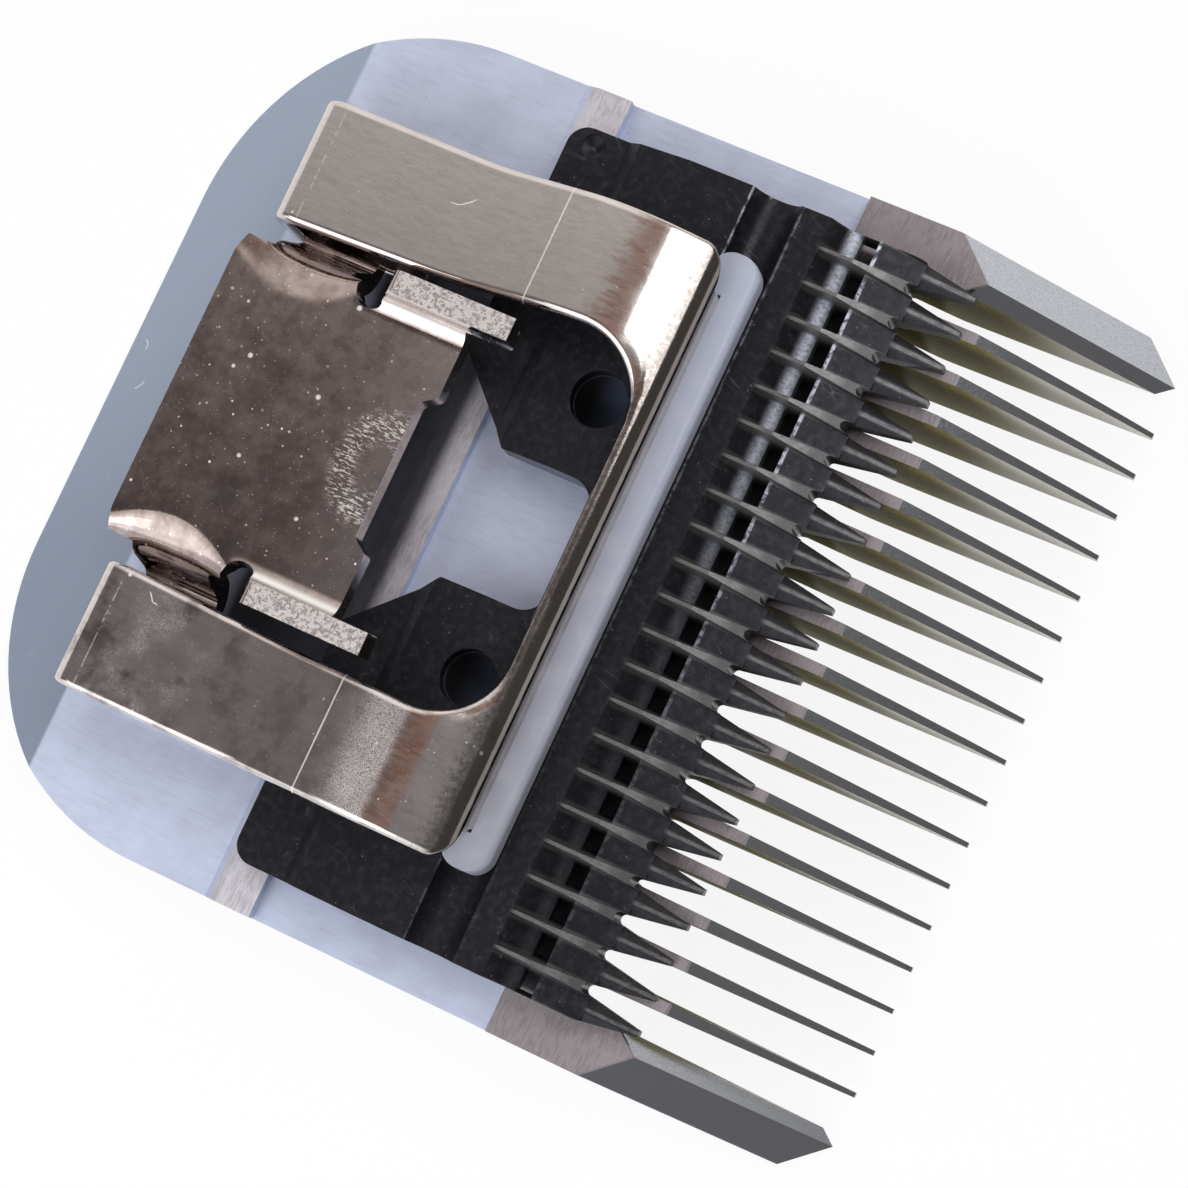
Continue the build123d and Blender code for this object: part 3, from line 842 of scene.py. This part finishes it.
@dataclass
class Sheet:
    """Grids of blade-frame points gathered into one mesh, with shared edges merged."""

    grids: list[np.ndarray] = field(default_factory=list)
    flips: list[bool] = field(default_factory=list)

    def add(self, grid: np.ndarray, flip: bool = False) -> None:
        """Add a grid of points, rows by columns by three."""
        self.grids.append(grid)
        self.flips.append(flip)

    def add_both(self, grid: np.ndarray, flip: bool = False) -> None:
        """Add a grid and its mirror image across X."""
        self.add(grid, flip)
        self.add(grid * np.array((-1.0, 1.0, 1.0)), not flip)

    def mesh(self, name: str) -> Object:
        """Merge the grids and make the object in the row frame.

        Args:
            name: The object's name.

        Returns:
            The new object.
        """
        quads, offset = [], 0
        for grid, flip in zip(self.grids, self.flips):
            rows, columns = grid.shape[:2]
            index = np.arange(rows * columns).reshape(rows, columns) + offset
            ring = np.stack((index[:-1, :-1], index[:-1, 1:], index[1:, 1:], index[1:, :-1]), -1).reshape(-1, 4)
            quads.append(ring[:, ::-1] if flip else ring)
            offset += rows * columns
        points = np.concatenate([grid.reshape(-1, 3) for grid in self.grids])
        _, first, back = np.unique(np.round(points, 4), axis=0, return_index=True, return_inverse=True)
        faces = back.reshape(-1)[np.concatenate(quads)]
        return new_object(name, points[first], faces)


def new_object(name: str, points: np.ndarray, faces: np.ndarray) -> Object:
    """Put points and faces into a mesh object at the origin of the row frame.

    Args:
        name: The object's name.
        points: Blade-frame millimetres.
        faces: Vertex numbers of each face, which may repeat one at a pole.

    Returns:
        The linked object, shaded smooth.
    """
    mesh = bpy.data.meshes.new(name)
    sound = [tuple(dict.fromkeys(face)) for face in faces.tolist()]
    mesh.from_pydata(BLADE.place(points).tolist(), [], [face for face in sound if len(face) > 2])
    mesh.validate()
    mesh.shade_smooth()
    return put(name, mesh)


def thicken(piece: Object, thickness: float) -> None:
    """Give a sheet its thickness, in millimetres, half of it to each side of the middle."""
    wall = piece.modifiers.new("wall", "SOLIDIFY")
    wall.thickness = thickness * MM
    wall.offset = 0.0
    wall.use_even_offset = True


def round_edges(piece: Object, edge: float) -> None:
    """Round the sharp edges of a piece, by a width in millimetres, and keep its flats flat."""
    rim = piece.modifiers.new("rim", "BEVEL")
    rim.width = edge * MM
    rim.segments = 3
    rim.limit_method = "ANGLE"
    rim.angle_limit = math.radians(40)
    rim.use_clamp_overlap = True
    rim.harden_normals = True


def dress(piece: Object, finish: Material) -> None:
    """Give a piece one material."""
    piece.data.materials.clear()
    piece.data.materials.append(finish)


@dataclass
class SolidPiece:
    """A piece whose solid is already the right shape and only takes a finish."""

    node: str
    body: Body = Body.FIXED

    def dress(self, finish: Material) -> None:
        """Give the node its finish."""
        dress(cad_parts[self.node], finish)


@dataclass
class Comb(SolidPiece):
    """The lower blade."""

    node: str = "comb"


@dataclass
class Cutter(SolidPiece):
    """The upper blade, which slides on the comb."""

    node: str = "cutter"
    body: Body = Body.MOVING


@dataclass
class SocketScrews(SolidPiece):
    """The two screws below the socket."""

    node: str = "socket_screws"


class BuiltPiece(ABC):
    """A piece that is built as a mesh in place of its plainer solid."""

    @abstractmethod
    def build(self) -> Object:
        """Make the piece's object."""

    def dress(self, finish: Material) -> Object:
        """Build the piece and give it its finish."""
        piece = self.build()
        dress(piece, finish)
        return piece


@dataclass
class TensionSpring(BuiltPiece):
    """The bent spring: two legs, a crossbar with a lip, and a folded foot under each leg."""

    sheet: float = 0.9
    half_width: float = 17.8
    rear: float = 14.65
    leg_width: float = 7.5
    leg_taper: float = 0.9
    taper_run: float = 2.0
    leaf_height: float = 5.5
    leaf_bend: float = 3.2
    hump_height: float = 8.7
    hump: float = -5.0
    shoulder: float = 7.1
    lip_front: float = -10.7
    lip_inset: float = 2.0
    lip_turn: float = 1.2
    lip_floor: float = 4.3
    crossbar: float = 1.3
    window_radius: float = 4.2
    foot_front: float = 6.1
    plate_top: float = -0.4
    foot_fold: float = 0.85
    fold: float = 1.3
    leaf_radius: float = 9.0
    hump_radius: float = 8.0
    lip_radius: float = 0.9
    edge: float = 0.34

    def path(self) -> np.ndarray:
        """Middle line of the sheet from foot to lip, as Y and Z."""
        foot_z = self.plate_top + self.sheet / 2
        leaf_z = self.leaf_height - self.sheet / 2
        back = self.rear - self.sheet / 2
        lip = self.lip_front + self.sheet / 2
        corners = (
            (self.foot_front, foot_z), (back, foot_z), (back, leaf_z), (self.leaf_bend, leaf_z),
            (self.hump, self.hump_height), (lip, self.shoulder), (lip, self.lip_floor),
        )
        radii = (self.foot_fold, self.fold, self.leaf_radius, self.hump_radius, self.lip_radius)
        return rounded_path(corners, radii, 28, 10)

    def lengths(self) -> np.ndarray:
        """Length along the path at each of its points."""
        return np.r_[0, np.cumsum(np.linalg.norm(np.diff(self.path(), axis=0), axis=1))]

    @property
    def bar(self) -> float:
        """Y of the window's front edge, where the crossbar starts."""
        return self.lip_front + self.crossbar

    @property
    def far(self) -> float:
        """Distance from a rim beyond which the sheet is flat."""
        return 1.3 * self.edge

    def side(self, y: np.ndarray) -> np.ndarray:
        """Half-width of the window along its slightly tapered sides."""
        end = self.rear + self.taper_run
        return self.half_width - self.leg_width + self.leg_taper * (end - y) / (end - self.bar)

    def inner_edge(self, y: np.ndarray) -> np.ndarray:
        """Half-width of the window: a side that turns into the crossbar by a quarter circle."""
        down = np.clip(self.bar + self.window_radius - y, 0, self.window_radius)
        return self.side(y) - self.window_radius + np.sqrt(self.window_radius ** 2 - down ** 2)

    def rim(self) -> np.ndarray:
        """Distances from a rim at which points lie, close together where the rim is round."""
        return self.edge * (1 - np.cos(np.linspace(0, math.pi / 2, 6)))

    def stations(self) -> tuple[np.ndarray, float]:
        """Lengths along the path at which rows lie, and the length at which the crossbar starts."""
        path, run = self.path(), self.lengths()
        upper = slice(int(np.argmax(path[:, 0])) + 10, int(np.argmin(path[:, 0])) + 1)
        sweep = self.bar + self.window_radius * (1 - np.sin(np.linspace(0, math.pi / 2, 24)))
        corner = np.interp(-sweep, -path[upper, 0], run[upper])
        near = self.rim()
        rows = np.r_[near, run[-1] - near, corner, corner[-1] + near, corner[-1] + self.far, run]
        rows = np.unique(np.round(rows, 5))
        return rows[np.r_[True, np.diff(rows) > 0.004]], round(float(corner[-1]), 5)

    def build(self) -> Object:
        """Make the spring as an upper and a lower surface that meet in rounded rims, with the window left open."""
        rows, joint = self.stations()
        near, far, share = self.rim(), self.far, np.linspace(0, 1, 10)
        made = Sheet()
        leg = rows[rows <= joint + 1e-6]
        inner = self.inner_edge(self._along(leg)[0][:, 0])[:, None]
        span = self.half_width - inner - 2 * far
        x = np.concatenate((inner + near, inner + far + span * share, self.half_width - near[::-1] + 0 * inner), 1)
        for side in Side:
            made.add_both(self._face(leg, x, self._rim_distance(leg, x, joint), side), side is Side.UPPER)
        rest = rows[rows >= joint - 1e-6]
        turn = np.clip((rest - joint) / self.lip_turn, 0, 1)
        outer = (self.half_width - self.lip_inset * (1 - np.sqrt(1 - turn ** 2)))[:, None]
        start = inner[-1, 0]
        span = outer - start - 2 * far
        half = np.concatenate((start + near + 0 * outer, start + far + span * share, outer - near[::-1]), 1)
        middle = np.broadcast_to(np.linspace(-start, start, 17)[1:-1], (len(rest), 15))
        x = np.concatenate((-half[:, ::-1], middle, half), 1)
        for side in Side:
            made.add(self._face(rest, x, self._rim_distance(rest, x, joint, outer), side), side is Side.UPPER)
        return made.mesh("spring_sheet")

    def _along(self, rows: np.ndarray) -> tuple[np.ndarray, np.ndarray]:
        """Middle points of the sheet and its outward normals, both as Y and Z, at lengths along the path."""
        path, run = self.path(), self.lengths()
        point = np.stack([np.interp(rows, run, path[:, axis]) for axis in (0, 1)], 1)
        way = np.gradient(path, run, axis=0)
        way = np.stack([np.interp(rows, run, way[:, axis]) for axis in (0, 1)], 1)
        way /= np.linalg.norm(way, axis=1, keepdims=True)
        return point, np.stack((way[:, 1], -way[:, 0]), 1)

    def _rim_distance(
        self, rows: np.ndarray, x: np.ndarray, joint: float, outer: Optional[np.ndarray] = None,
    ) -> np.ndarray:
        """Distance of points on the sheet from its nearest rim.

        Args:
            rows: Lengths along the path.
            x: One row of X for each length.
            joint: Length at which the crossbar starts.
            outer: Half-width of the sheet, where it differs from the leg's.

        Returns:
            Array of the shape of x.
        """
        leaf = self.lengths()[int(np.argmax(self.path()[:, 0]))]
        wide, end = np.abs(x), self.stations()[0][-1]
        y, rows = self._along(rows)[0][:, :1], rows[:, None]
        y = np.where(rows > joint, self.bar + joint - rows, y)
        center = self.bar + self.window_radius
        behind = self.side(np.maximum(y, self.bar)) - self.window_radius
        curved = np.hypot(np.clip(wide - behind, 0, None), y - center) - self.window_radius
        window = np.where((y < center) & (rows >= leaf), curved, wide - self.inner_edge(y))
        edge = (self.half_width if outer is None else outer) - wide
        return np.minimum(np.minimum(window, edge), np.minimum(rows, end - rows))

    def _face(self, rows: np.ndarray, x: np.ndarray, distance: np.ndarray, side: Side) -> np.ndarray:
        """One face of the sheet, straight across X and rounded off at the rims.

        It lies off the middle by half the sheet times sqrt(1 - (1 - d / edge) ** 2), where d is the distance from
        the rim.

        Args:
            rows: Lengths along the path.
            x: One row of X for each length.
            distance: Distance of each point from its nearest rim.
            side: Which face.

        Returns:
            Grid of points.
        """
        point, normal = self._along(rows)
        within = 1 - np.clip(distance / self.edge, 0, 1)
        off = side.value * self.sheet / 2 * np.sqrt(1 - within ** 2)
        return grid_of(x, point[:, :1] + normal[:, :1] * off, point[:, 1:] + normal[:, 1:] * off)


@dataclass
class HingeSocket(BuiltPiece):
    """The arched socket: plate, two drawn walls with flanges, relief notches and two upturned ears."""

    sheet: float = 1.3
    half_width: float = 8.6
    core_half: float = 6.3
    height: float = 5.6
    rear: float = 15.3
    front: float = 1.0
    end_bend: float = 0.75
    mid_bend: float = 2.8
    foot_bend: float = 1.4
    wall_lean: float = 1.0
    wall_rear: float = 13.8
    wall_front: float = 8.7
    flange_rear: float = 13.2
    flange_reach: float = 16.4
    flange_middle: float = 1.15
    ear_rear: float = 5.4
    ear_front: float = -1.9
    ear_height: float = 8.3
    ear_offset: float = 9.2
    ear_bend: float = 1.75
    ear_lift: float = 0.35
    ear_corner: float = 0.7
    ear_lead: float = 0.8
    notch_radius: float = 0.85
    notch_place: float = 7.0
    mouth_half: float = 4.8
    mouth_depth: float = 0.9
    mouth_taper: float = 0.9
    edge: float = 0.18
    columns: int = 13

    @property
    def middle(self) -> float:
        """Height of the plate's middle surface."""
        return self.height - self.sheet / 2

    @property
    def turn(self) -> float:
        """Angle, in radians, by which the wall is bent down from the plate."""
        return math.atan2(self.middle - self.flange_middle, self.wall_lean)

    def bend(self, y: np.ndarray) -> np.ndarray:
        """Bend radius beside the plate: small at the notch and the rear corner, large midway, by a square law."""
        start = self.notch_place + self.notch_radius
        along = (y - (self.rear + start) / 2) / ((self.rear - start) / 2)
        return self.end_bend + (self.mid_bend - self.end_bend) * np.clip(1 - along ** 2, 0, 1)

    def drop(self, x: np.ndarray, radius: np.ndarray) -> np.ndarray:
        """Fall of the bent-down strip below the plate, a circular arc that is tangent to the plate."""
        into = np.clip(x - self.half_width + radius * math.tan(self.turn / 2), 0, None)
        return radius - np.sqrt(np.clip(radius ** 2 - into ** 2, 0, None))

    def lift(self, x: np.ndarray) -> np.ndarray:
        """Rise of the ear's root above the plate, a circular arc that is tangent to the plate."""
        into = np.clip(x - self.ear_offset + self.ear_bend, 0, self.ear_bend)
        return self.ear_bend - np.sqrt(self.ear_bend ** 2 - into ** 2)

    def build(self) -> Object:
        """Make the socket's sheet from a flat core and the strips bent from its sides."""
        ear_y = np.linspace(self.front, self.notch_place, 15)
        bite_y = self.notch_place + self.notch_radius * np.sin(np.linspace(0, math.pi / 2, 10))
        runs = ((bite_y[-1], self.wall_front, 5), (self.wall_front, self.wall_rear, 19), (self.wall_rear, self.rear, 8))
        edge_y = np.concatenate([np.linspace(*run)[(1 if index else 0):] for index, run in enumerate(runs)])
        made = Sheet()
        made.add_both(self._core(np.unique(np.r_[ear_y, bite_y, edge_y])))
        made.add_both(self._edge(edge_y))
        made.add_both(self._bite(bite_y))
        made.add_both(self._wall(edge_y[(edge_y >= self.wall_front) & (edge_y <= self.wall_rear)]))
        for strip in self._ear(len(ear_y)):
            made.add_both(strip)
        piece = made.mesh("socket_sheet")
        thicken(piece, self.sheet)
        round_edges(piece, self.edge)
        return piece

    def _core(self, y: np.ndarray) -> np.ndarray:
        """Flat half of the plate, whose front edge is drawn back in the mouth by a smooth step that fades rearwards."""
        inset = self.mouth_half - self.mouth_taper
        runs = ((0.0, inset, 6), (inset, self.mouth_half, 9), (self.mouth_half, self.core_half, 5))
        x = np.unique(np.concatenate([np.linspace(*run) for run in runs]))
        part = np.clip((self.mouth_half - x) / self.mouth_taper, 0, 1)
        dent = self.mouth_depth * part ** 2 * (3 - 2 * part)
        fade = np.clip((self.ear_rear - y) / (self.ear_rear - self.front), 0, 1)[:, None]
        rows = y[:, None] + dent * fade
        return grid_of(x, rows, self.middle)

    def _edge(self, y: np.ndarray) -> np.ndarray:
        """Strip beside the core behind the notch, bent down by a radius that changes along the edge."""
        x = np.linspace(self.core_half, self.half_width, self.columns)
        z = self.middle - self.drop(x, self.bend(y)[:, None])
        return grid_of(x, y[:, None], z)

    def _bite(self, y: np.ndarray) -> np.ndarray:
        """Strip beside the rear half of the round notch, passing from the ear's rise to the bent-down edge."""
        away = np.clip(self.notch_radius ** 2 - (y - self.notch_place) ** 2, 0, None)
        reach = (self.half_width - np.sqrt(away) - self.core_half)[:, None]
        x = self.core_half + reach * np.linspace(0, 1, self.columns)
        share = ((y - self.notch_place) / self.notch_radius)[:, None]
        z = self.middle + self.lift(x) * (1 - share) - self.drop(x, self.bend(y)[:, None])
        return grid_of(x, y[:, None], z)

    def _wall(self, y: np.ndarray) -> np.ndarray:
        """Wall and flange below the strip's edge: rest of the bend, straight wall, foot bend and flange.

        The flange's rear edge is drawn forward of the spring's fold.

        Args:
            y: Rows along the wall.

        Returns:
            Grid of points.
        """
        radius = self.bend(y)[:, None]
        swing = np.linspace(math.asin(math.tan(self.turn / 2)), self.turn, 7)
        bent = (self.half_width + radius * (np.sin(swing) - math.tan(self.turn / 2)),
                self.middle - radius * (1 - np.cos(swing)))
        corners = ((self.half_width, self.middle), (self.half_width + self.wall_lean, self.flange_middle),
                   (self.flange_reach, self.flange_middle))
        foot = rounded_path(corners, (self.foot_bend,), 12, 6)[5:]
        down = np.linspace(0, 1, 6)[1:]
        x, z = (np.concatenate((
            top, top[:, -1:] + (foot[0, axis] - top[:, -1:]) * down,
            np.broadcast_to(foot[1:, axis], (len(y), len(foot) - 1))), 1) for axis, top in enumerate(bent))
        low = np.clip((self.middle - 1 - z) / (self.middle - 1 - self.flange_middle), 0, 1)
        along = ((y - y[0]) / (y[-1] - y[0]))[:, None]
        return grid_of(x, y[:, None] + (self.flange_rear - y[-1]) * low * along, z)

    def _ear(self, rows: int) -> list[np.ndarray]:
        """Ear bent up beside the plate: its rear end starts on the notch, and its upper part runs on past the plate.

        Args:
            rows: Rows along the ear's root.

        Returns:
            Grids of the ear beside the plate and of its part ahead of the plate.
        """
        inner = self.half_width - self.notch_radius
        flat = np.linspace(self.core_half, inner, self.columns)
        corners = ((self.core_half, self.middle), (self.ear_offset, self.middle), (self.ear_offset, self.ear_height))
        upright = rounded_path(corners, (self.ear_bend,), 30, 12)
        upright = upright[upright[:, 0] > inner + 0.02]
        x = np.r_[flat, upright[:, 0]]
        z = np.r_[self.middle + self.lift(flat), upright[:, 1]]
        away = np.clip(self.half_width - x, 0, self.notch_radius)
        round_end = self.notch_place - np.sqrt(self.notch_radius ** 2 - away ** 2)
        rise = np.clip((z - self.height) / (self.ear_height - self.height), 0, 1)
        corner = np.clip(z - self.ear_height + self.ear_corner, 0, self.ear_corner)
        trim = self.ear_corner - np.sqrt(self.ear_corner ** 2 - corner ** 2)
        root = self.notch_place - self.notch_radius
        end = np.where(x < self.half_width, round_end, root - (root - self.ear_rear) * rise) - 0.6 * trim
        share = np.linspace(0, 1, rows)[:, None]
        beside = grid_of(x, self.front + (end - self.front) * share, z)
        ahead = z > self.height + self.ear_lift
        tip = self.ear_front + self.ear_corner * (1 - np.clip((z[ahead] - self.height) / self.ear_lead, 0, 1)) ** 2
        lead = tip + (self.front - tip) * np.linspace(0, 1, 8)[:, None]
        return [beside, grid_of(x[ahead], lead, z[ahead])]


@dataclass
class BladeGuide(BuiltPiece):
    """The nylon bar in the cutter's groove, slotted along its top for the spring's lip."""

    center: float = -10.85
    axis_height: float = 3.8
    radius: float = 1.42
    top: float = 5.1
    left: float = -17.75
    right: float = 18.25
    end_radius: float = 1.2
    top_round: float = 0.5
    rib_round: float = 0.12
    slot_rear: float = -9.75
    slot_front: float = -10.70
    slot_floor: float = 4.3
    slot_half: float = 15.72
    slot_end: float = 0.1
    edge: float = 0.03

    def section(self) -> tuple[np.ndarray, np.ndarray]:
        """Outline of the bar seen along X, and a mask of its two points on the slot's floor."""
        low, high = self.center - self.radius, self.center + self.radius
        half = np.linspace(math.pi, 2 * math.pi, 33)[1:-1]
        bowl = np.stack((self.center + self.radius * np.cos(half), self.axis_height + self.radius * np.sin(half)), 1)
        ahead = ((self.slot_front, self.top), (low, self.top), (low, self.axis_height))
        behind = ((high, self.axis_height), (high, self.top), (self.slot_rear, self.top))
        floor = np.array(((self.slot_rear, self.slot_floor), (self.slot_front, self.slot_floor)))
        front, rear = rounded_path(ahead, (self.top_round,), 10, 5), rounded_path(behind, (self.rib_round,), 6, 4)
        loop = np.concatenate((front, bowl, rear, floor))
        return loop, np.arange(len(loop)) >= len(loop) - 2

    def build(self) -> Object:
        """Make the bar: the outline carried along X, squeezed in Y to a quarter circle at both ends, and capped."""
        loop, slot = self.section()
        ends = self.end_radius * (1 - np.sin(np.linspace(math.pi / 2, 0, 12)))
        step = np.array((-0.2, -0.05, 0.05, 0.2))
        even = np.linspace(-14, 14, 15)
        x = np.r_[self.left + ends, self.right - ends, -self.slot_half + step, self.slot_half + step, even]
        x = np.unique(np.round(x, 4))
        x = np.r_[x[0], x, x[-1]]
        inside = np.clip(np.minimum(x - self.left, self.right - x), 0, self.end_radius)
        round_off = np.sqrt(np.clip(self.end_radius ** 2 - (self.end_radius - inside) ** 2, 0, None))
        width = (self.radius - self.end_radius + round_off) / self.radius
        width[[0, -1]] = 0.0
        filled = np.clip((np.abs(x) - self.slot_half) / self.slot_end + 0.5, 0, 1)[:, None] * slot
        z = loop[:, 1] + (self.top - loop[:, 1]) * filled
        z[[0, -1]] = self.axis_height
        y = self.center + (loop[:, 0] - self.center) * width[:, None]
        grid = grid_of(x[:, None], y, z)
        made = Sheet()
        made.add(np.concatenate((grid, grid[:, :1]), 1))
        piece = made.mesh("guide_bar")
        round_edges(piece, self.edge)
        return piece


@dataclass(frozen=True)
class Lamp:
    """One level soft box that shines straight down: place and size in metres, power in watts."""

    name: str
    place: Point
    size: Span
    power: float

    def build(self) -> None:
        """Make the lamp."""
        light = bpy.data.lights.new(self.name, "AREA")
        light.shape = "RECTANGLE"
        light.size, light.size_y = self.size
        light.energy = self.power
        put(self.name, light).location = self.place


@dataclass(frozen=True)
class Studio:
    """Floor, light and camera: a soft box in front, a wide one behind on the other side, and a small one low beside."""

    camera_place: Point = (-0.0164333, -0.0356275, 0.1842166)
    camera_turn: Point = (8.64252, 7.13420, -64.93099)
    lens: float = 101.11
    sensor: float = 36.0
    near: float = 0.005
    floor_half: float = 3.0
    floor_color: Color = (0.9, 0.9, 0.9)
    floor_glow: float = 0.9
    ceiling: Color = (0.20, 0.19, 0.195)
    front: Color = (0.27, 0.265, 0.28)
    far_front: Color = (0.17, 0.165, 0.16)
    right: Color = (1.10, 1.08, 1.06)
    brown: Color = (0.32, 0.20, 0.16)
    left: Color = (1.32, 1.35, 1.42)
    lamps: tuple[Lamp, ...] = (
        Lamp("key", (0.265, -0.18, 0.42), (0.40, 0.24), 0.95),
        Lamp("back", (-0.50, 0.28, 0.38), (0.80, 0.60), 1.7),
        Lamp("fill", (-0.13, 0.02, 0.13), (0.09, 0.09), 0.045),
    )

    def build(self) -> None:
        """Make everything round the object."""
        self._floor()
        self._world()
        for lamp in self.lamps:
            lamp.build()
        self._camera()
        bpy.context.scene.view_settings.view_transform = "Standard"

    def _floor(self) -> None:
        """A pale floor that keeps a faint shadow and looks white to the camera and in reflections."""
        half = self.floor_half
        mesh = bpy.data.meshes.new("floor")
        mesh.from_pydata([(-half, -half, 0), (half, -half, 0), (half, half, 0), (-half, half, 0)], [], [(0, 1, 2, 3)])
        floor = put("floor", mesh)
        made = bpy.data.materials.new("pale_floor")
        made.use_nodes = True
        graph = Graph(made.node_tree)
        shader = made.node_tree.nodes["Principled BSDF"]
        graph.feed(shader.inputs["Base Color"], (*self.floor_color, 1.0))
        graph.feed(shader.inputs["Roughness"], 0.9)
        path = graph.add("ShaderNodeLightPath")
        seen = graph.out(path, "Is Camera Ray") | graph.out(path, "Is Glossy Ray")
        glow = graph.out(graph.add("ShaderNodeEmission"))
        mix = graph.add("ShaderNodeMixShader", {0: seen * self.floor_glow, 1: graph.out(shader), 2: glow})
        graph.feed(made.node_tree.nodes["Material Output"].inputs[0], graph.out(mix))
        floor.data.materials.append(made)

    def _world(self) -> None:
        """Pale side walls, a dim warm ceiling with one brown strip across it, and white for the camera."""
        world = bpy.data.worlds.new("room")
        bpy.context.scene.world = world
        world.use_nodes = True
        graph = Graph(world.node_tree)
        x, y, _ = graph.split(graph.out(graph.add("ShaderNodeTexCoord"), "Generated"))
        ramp = graph.ramp
        sky = graph.layers(
            self.ceiling,
            (ramp(y, 0.0, -0.12), self.front),
            (ramp(y, -0.35, -0.55), self.far_front),
            (ramp(x, 0.02, 0.42) * ramp(y, -0.58, -0.46), self.right),
            (ramp(y, 0.38, 0.06) * ramp(y, -0.12, -0.06) * 0.8, self.brown),
            (ramp(x, -0.24, -0.56) * ramp(y, -0.42, -0.12), self.left),
            (graph.out(graph.add("ShaderNodeLightPath"), "Is Camera Ray"), (1.0, 1.0, 1.0)))
        graph.feed(world.node_tree.nodes["Background"].inputs[0], sky)

    def _camera(self) -> None:
        """The photograph's viewpoint."""
        data = bpy.data.cameras.new("camera")
        data.lens = self.lens
        data.sensor_width = self.sensor
        data.sensor_fit = "HORIZONTAL"
        data.clip_start = self.near
        camera = put("camera", data)
        camera.location = self.camera_place
        camera.rotation_euler = tuple(math.radians(angle) for angle in self.camera_turn)
        bpy.context.scene.camera = camera


def main() -> None:
    """Build the pieces in order, dress them and set up the studio."""
    logging.basicConfig(level=logging.INFO, format="%(name)s: %(message)s")
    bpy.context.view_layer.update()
    steel, black, nickel = SatinSteel().build(), BlackOxide().build(), BrightNickel().build()
    dull = BrightNickel(
        "socket_nickel", (0.40, 0.33, 0.305), cloudy=(0.28, 0.22, 0.20), speckle=1.0, speck_share=0.62, speck_size=0.19,
        grain=(0.9, 0.9, 0.9), dark_reflection_share=0.6).build()
    nylon, zinc = MilkyNylon().build(), ZincPlate().build()
    for solid, finish in ((Comb(), steel), (Cutter(), black), (SocketScrews(), zinc)):
        solid.dress(finish)
        LOG.info("%s: solid on %s", solid.node, solid.body.value)
    for assembly, node, finish, slot in (
        (TensionSpring(), "tension_spring", nickel, "nickel_plate"),
        (HingeSocket(), "socket", dull, "nickel_plate"),
        (BladeGuide(), "blade_guide", nylon, "nylon"),
    ):
        piece = assembly.dress(finish)
        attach(piece, Body.FIXED.value)
        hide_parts(node)
        LOG.info("%s: %d points", piece.name, len(piece.data.vertices))
    Studio().build()


if __name__ == "__main__":
    main()
